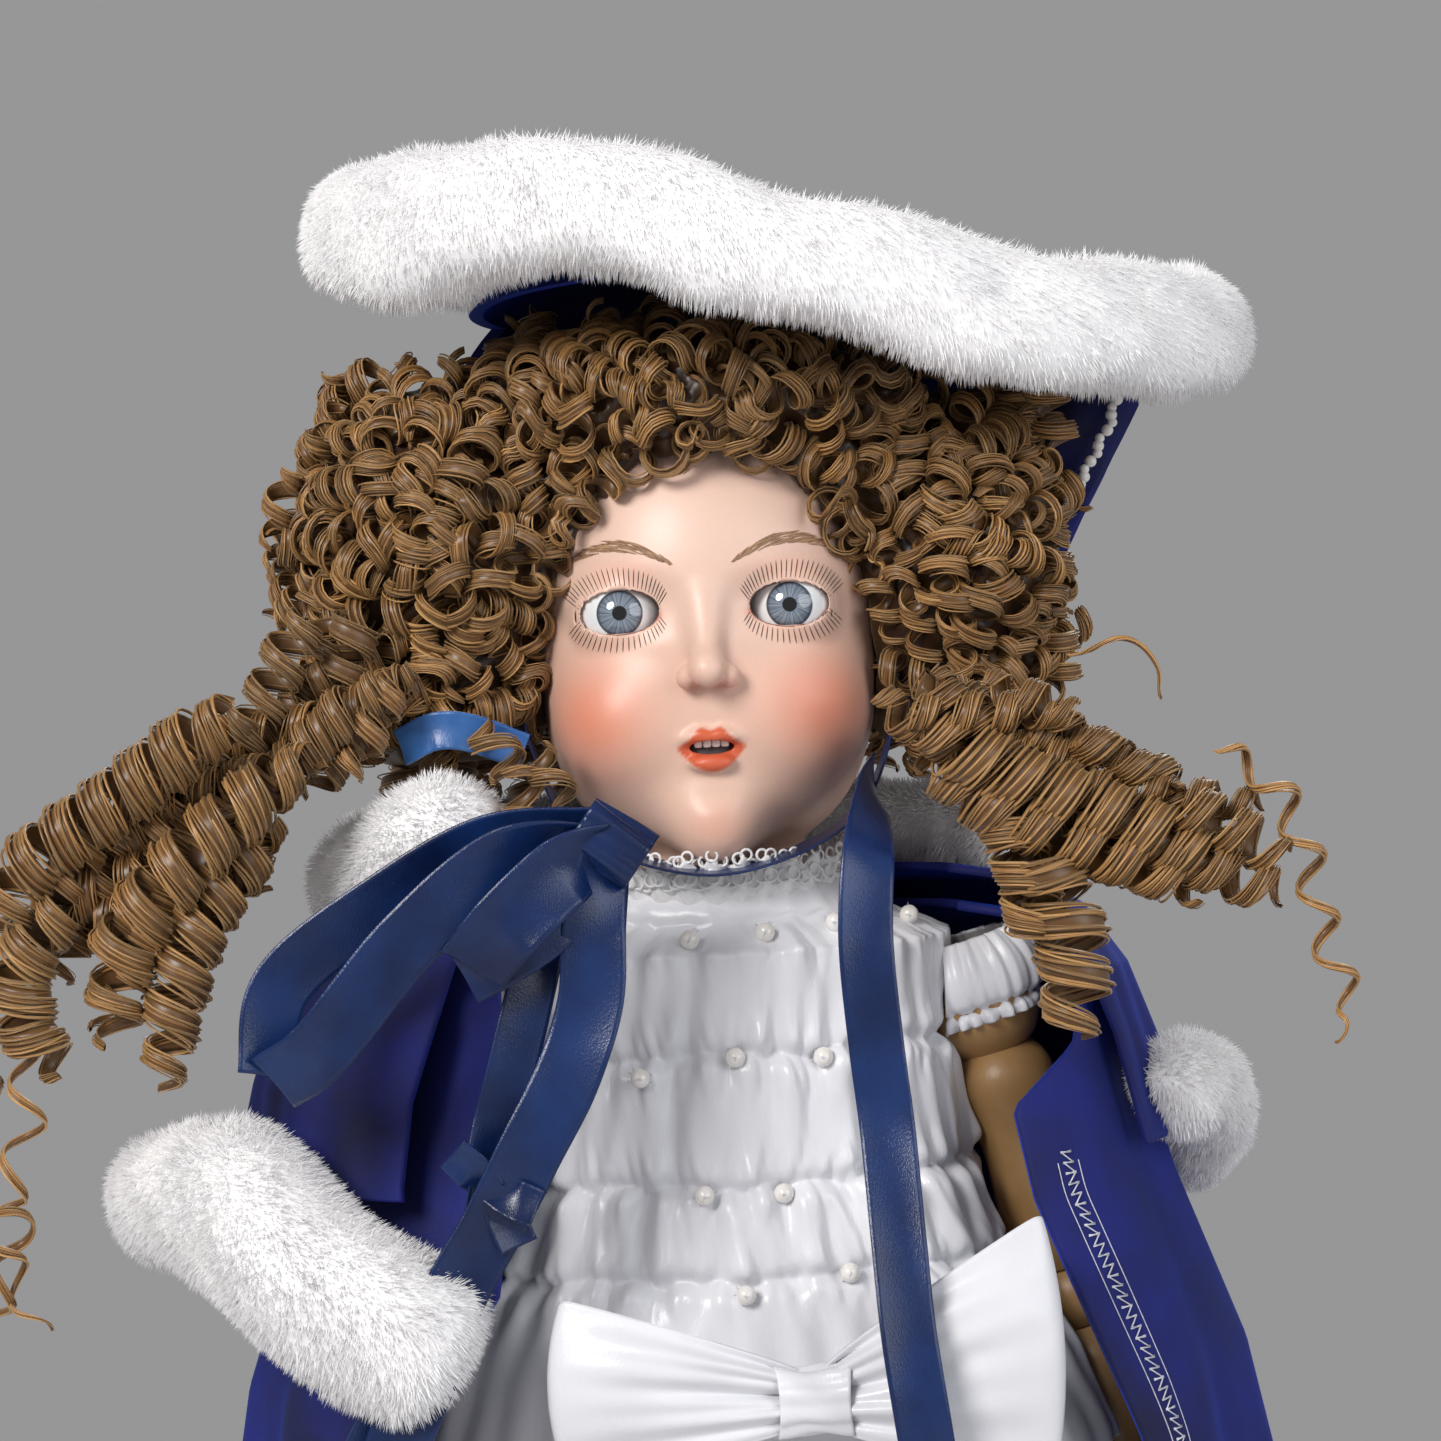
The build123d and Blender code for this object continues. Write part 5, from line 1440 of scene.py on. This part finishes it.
def ribbons():
    # from both sides of the bonnet under the chin
    chin = [(-55, -6, 552), (-53, -16, 530), (-44, -33, 505), (-28, -40, 491.5), (0, -42, 484.5)]
    chin += [(28, -40, 491.5), (44, -33, 505), (53, -16, 530), (55, -6, 552)]
    path = smooth_path(chin, 120)
    v = np.linspace(-0.5, 0.5, 11)
    grid = path[:, None] + 15 * v[None, :, None] * np.array([0.0, 1.0, 0.12])[None, None]
    rests = ["head_bisque"]
    strap = cloth("chin_strap", grid, 0.6, RIBBON, None, "hung", rests, False, "chin_ribbon")
    soft = [strap]
    y = -96.0

    def ribbon(name, spots, width, lean, node=None, held="folded", rests=(), **more):
        """One ribbon whose points are (x0, z0) as the eye sees them and a depth beyond y."""
        points = [seen(x0, z0, y + deep) for x0, z0, deep in spots]
        soft.append(band(name, points, width, None, lean, node, held, rests, **more))

    # the large loop: out to the left, down and back
    ribbon(
        "loop_large", [(-33, 492, 3), (-62, 489, -6), (-92, 466, -11), (-118, 437, -9), (-132, 428, -2)],
        17, [0.9, 0.25, 0.1, 0.05, 0.2], "ribbon_bow", rests=["collar_fur"],
    )
    ribbon(
        "loop_large_back", [(-34, 496, 6), (-66, 494, 4), (-98, 478, 3), (-128, 456, 1), (-134, 430, 0)],
        16, [0.6, 0.3, 0.2, 0.1, 0.4], rests=["collar_fur"],
    )
    ribbon(
        "loop_small", [(-33, 491, -2), (-46, 484, -10), (-62, 470, -13), (-73, 458, -9)],
        19, [0.9, 0.2, 0.1, 0.3], rests=["loop_large"], cup=1.6,
    )
    ribbon(
        "loop_small_back", [(-34, 489, 0), (-48, 470, -7), (-64, 460, -9), (-75, 455, -7)],
        14, [0.8, 0.4, 0.2, 0.1], rests=["loop_small"],
    )
    kn = np.array(seen(-31, 492, y - 3))
    aa = np.linspace(0, 2 * math.pi, 48, endpoint=False)
    ts = np.linspace(-1, 1, 20)
    t, a = np.meshgrid(ts, aa, indexing="ij")
    r = 1 + 0.10 * np.sin(5 * a + t) + 0.05 * np.sin(11 * a)
    lean_x, lean_z = 0.80, -0.6
    px = kn[0] + 9.5 * t * lean_x - 7.5 * np.cos(a) * r * lean_z
    pz = kn[2] + 9.5 * t * lean_z + 7.5 * np.cos(a) * r * lean_x
    py = kn[1] + 5.0 * np.sin(a) * r
    grid = np.stack([px, py, pz], -1)
    rests = ["loop_large", "loop_small"]
    soft.append(cloth("ribbon_knot", grid, 0.6, RIBBON, None, "folded", rests, True))
    tail_a = [(-33, 490, -1), (-37, 470, -4), (-39, 447, -5), (-47, 425, -7), (-59, 404, -8)]
    tail_a += [(-71, 383, -7), (-84, 362, -8), (-93, 340, -8), (-101, 322, -7), (-110, 296, -6)]
    turns = [0.8, 0.1, -0.1, 0.15, 0.3, 0.1, -0.2, 0.1]
    ribbon("tail_a", tail_a, 17, turns, "ribbon_tails", "hung", ["bodice_satin"])
    tail_b = [(-52, 466, 4), (-56, 452, 1), (-63, 428, -1), (-70, 405, -1), (-72, 394, -1)]
    tail_b += [(-78, 374, -1), (-88, 354, -2), (-100, 336, -2), (-110, 320, -2), (-120, 300, -1)]
    turns = [0.6, 0.2, 0.1, 0.7, 0.9, 0.4, 0.1, 0.15]
    ribbon("tail_b", tail_b, 13, turns, None, "hung", ["velvet_coat_l"])
    kb = np.array(seen(-70, 394, y - 5))
    for k, (dx, dz, yy) in enumerate(((-7, 7, -2), (8, -4, -4), (4, -11, -1))):
        ear = [kb, kb + [dx * 0.7, yy, dz * 0.7], kb + [dx * 1.4, yy, dz * 1.4]]
        lean = [0.8, 0.2, 0.4]
        soft.append(band(f"knot_ear_{k}", ear, 10.5, None, lean, None, "folded", ["tail_b"], count=20))
    drop = [(44.5, -36, 508)]
    for x0, z0, deep in (
        (45.5, 501, -58), (43.5, 486, -82), (41.5, 460, -88), (43, 430, -88), (45, 405, -89),
        (46.5, 372, -99), (48, 345, -106), (51, 318, -108), (54, 292, -106),
    ):
        drop.append(seen(x0, z0, deep))
    turns = [1.2, 0.7, 0.2, 0.05, -0.1, 0.1, 0.15, 0.1, 0.2]
    soft.append(band("tail_right", drop, 14.5, None, turns, None, "hung", ["bodice_satin"]))
    for obj in soft:
        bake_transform(obj)
    # painted sheen: a short paler blue piece beside the hair at the left, where the navy ribbon's loop top
    # catches the light
    spots = [(-86, -40, 523), (-76, -44, 527), (-66, -44, 526), (-52, -42, 520)]
    pale = band("ribbon_painted_sheen", spots, 10.5, "head", [0.2, 0.1, 0.3], None, "hung", ["wig_curls_l"])
    pale.data.materials.clear()
    pale.data.materials.append(RIBBON_SHEEN_PAINT)


ribbons()


# ------------------------------------------------------------------ limbs, stockings and shoes
for _, letter in HALVES:
    for part in ("upper_arm", "elbow_ball", "forearm", "hand", "thigh", "knee_ball", "lower_leg"):
        set_material(f"{part}_{letter}", COMPO)
    set_material(f"shoe_{letter}", SHOE)
    set_material(f"sole_{letter}", SOLE)
    set_material(f"strap_{letter}", SHOE)
set_material("torso", COMPO)
for node in ("arm_elastic", "leg_elastic"):
    set_material(node, STOCKING)


def stocking(side, letter):
    """A knitted sock round the leg."""
    zs = np.linspace(96.0, 33.0, 90)
    aa = np.linspace(0, 2 * math.pi, 150, endpoint=False)
    z, a = np.meshgrid(zs, aa, indexing="ij")
    r = np.interp(z, [33, 50, 78, 96], [13.1, 14.3, 19.3, 19.6]) + 0.28 * np.cos(50 * a)
    r = r + 0.8 * np.clip((z - 88) / 2, 0, 1) + 0.25 * np.sin(1.1 * z) * np.exp(-((z - 42) ** 2) / 60)
    grid = np.stack([side * 31 + r * np.cos(a), r * np.sin(a), z], -1)
    body = "lower_leg_" + letter
    sock = "sock_" + letter
    cloth("knit_" + sock, grid, 0.6, STOCKING, body, "stretched", [body], True, sock)


for side, letter in HALVES:
    stocking(side, letter)


# ------------------------------------------------------------------ floor, light and camera
def studio():
    bpy.ops.mesh.primitive_plane_add(size=2.3, location=(0, 0, -0.0005))
    floor = bpy.context.object
    floor.name = "floor"
    mat, _, _, shader = new_material("pale_floor")
    finish_of(shader, Base_Color=(0.52, 0.52, 0.53, 1), Roughness=0.9)
    floor.data.materials.append(mat)
    world = bpy.data.worlds.new("studio")
    bpy.context.scene.world = world
    world.use_nodes = True
    finish_of(world.node_tree.nodes["Background"], Color=(0.56, 0.56, 0.57, 1), Strength=0.55)
    for name, place, size, power, tint in (
        ("key", (-1.0, -1.7, 1.5), 0.9, 37, (1.0, 0.98, 0.96)),
        ("fill", (1.4, -1.3, 0.9), 1.4, 12, (0.93, 0.96, 1.0)),
        ("rim", (0.5, 1.5, 1.6), 1.0, 16, (1.0, 1.0, 1.0)),
    ):
        light = bpy.data.lights.new(name, "AREA")
        light.shape = "DISK"
        light.size = size
        light.energy = power
        light.color = tint
        lamp = bpy.data.objects.new(name, light)
        lamp.location = place
        aim = Vector((0, 0, 0.5)) - Vector(place)
        lamp.rotation_euler = aim.to_track_quat("-Z", "Y").to_euler()
        bpy.context.scene.collection.objects.link(lamp)
    camera = bpy.data.cameras.new("camera")
    camera.sensor_width = 36.0
    camera.angle = math.radians(26.3)
    eye = bpy.data.objects.new("camera", camera)
    level = Matrix.Rotation(math.radians(90), 4, "X")
    roll = Matrix.Rotation(math.radians(-3), 4, "Z")
    eye.matrix_world = Matrix.Translation(Vector(EYE_POINT) * MM) @ level @ roll
    bpy.context.scene.collection.objects.link(eye)
    bpy.context.scene.camera = eye
    bpy.context.scene.view_settings.view_transform = "Standard"


studio()
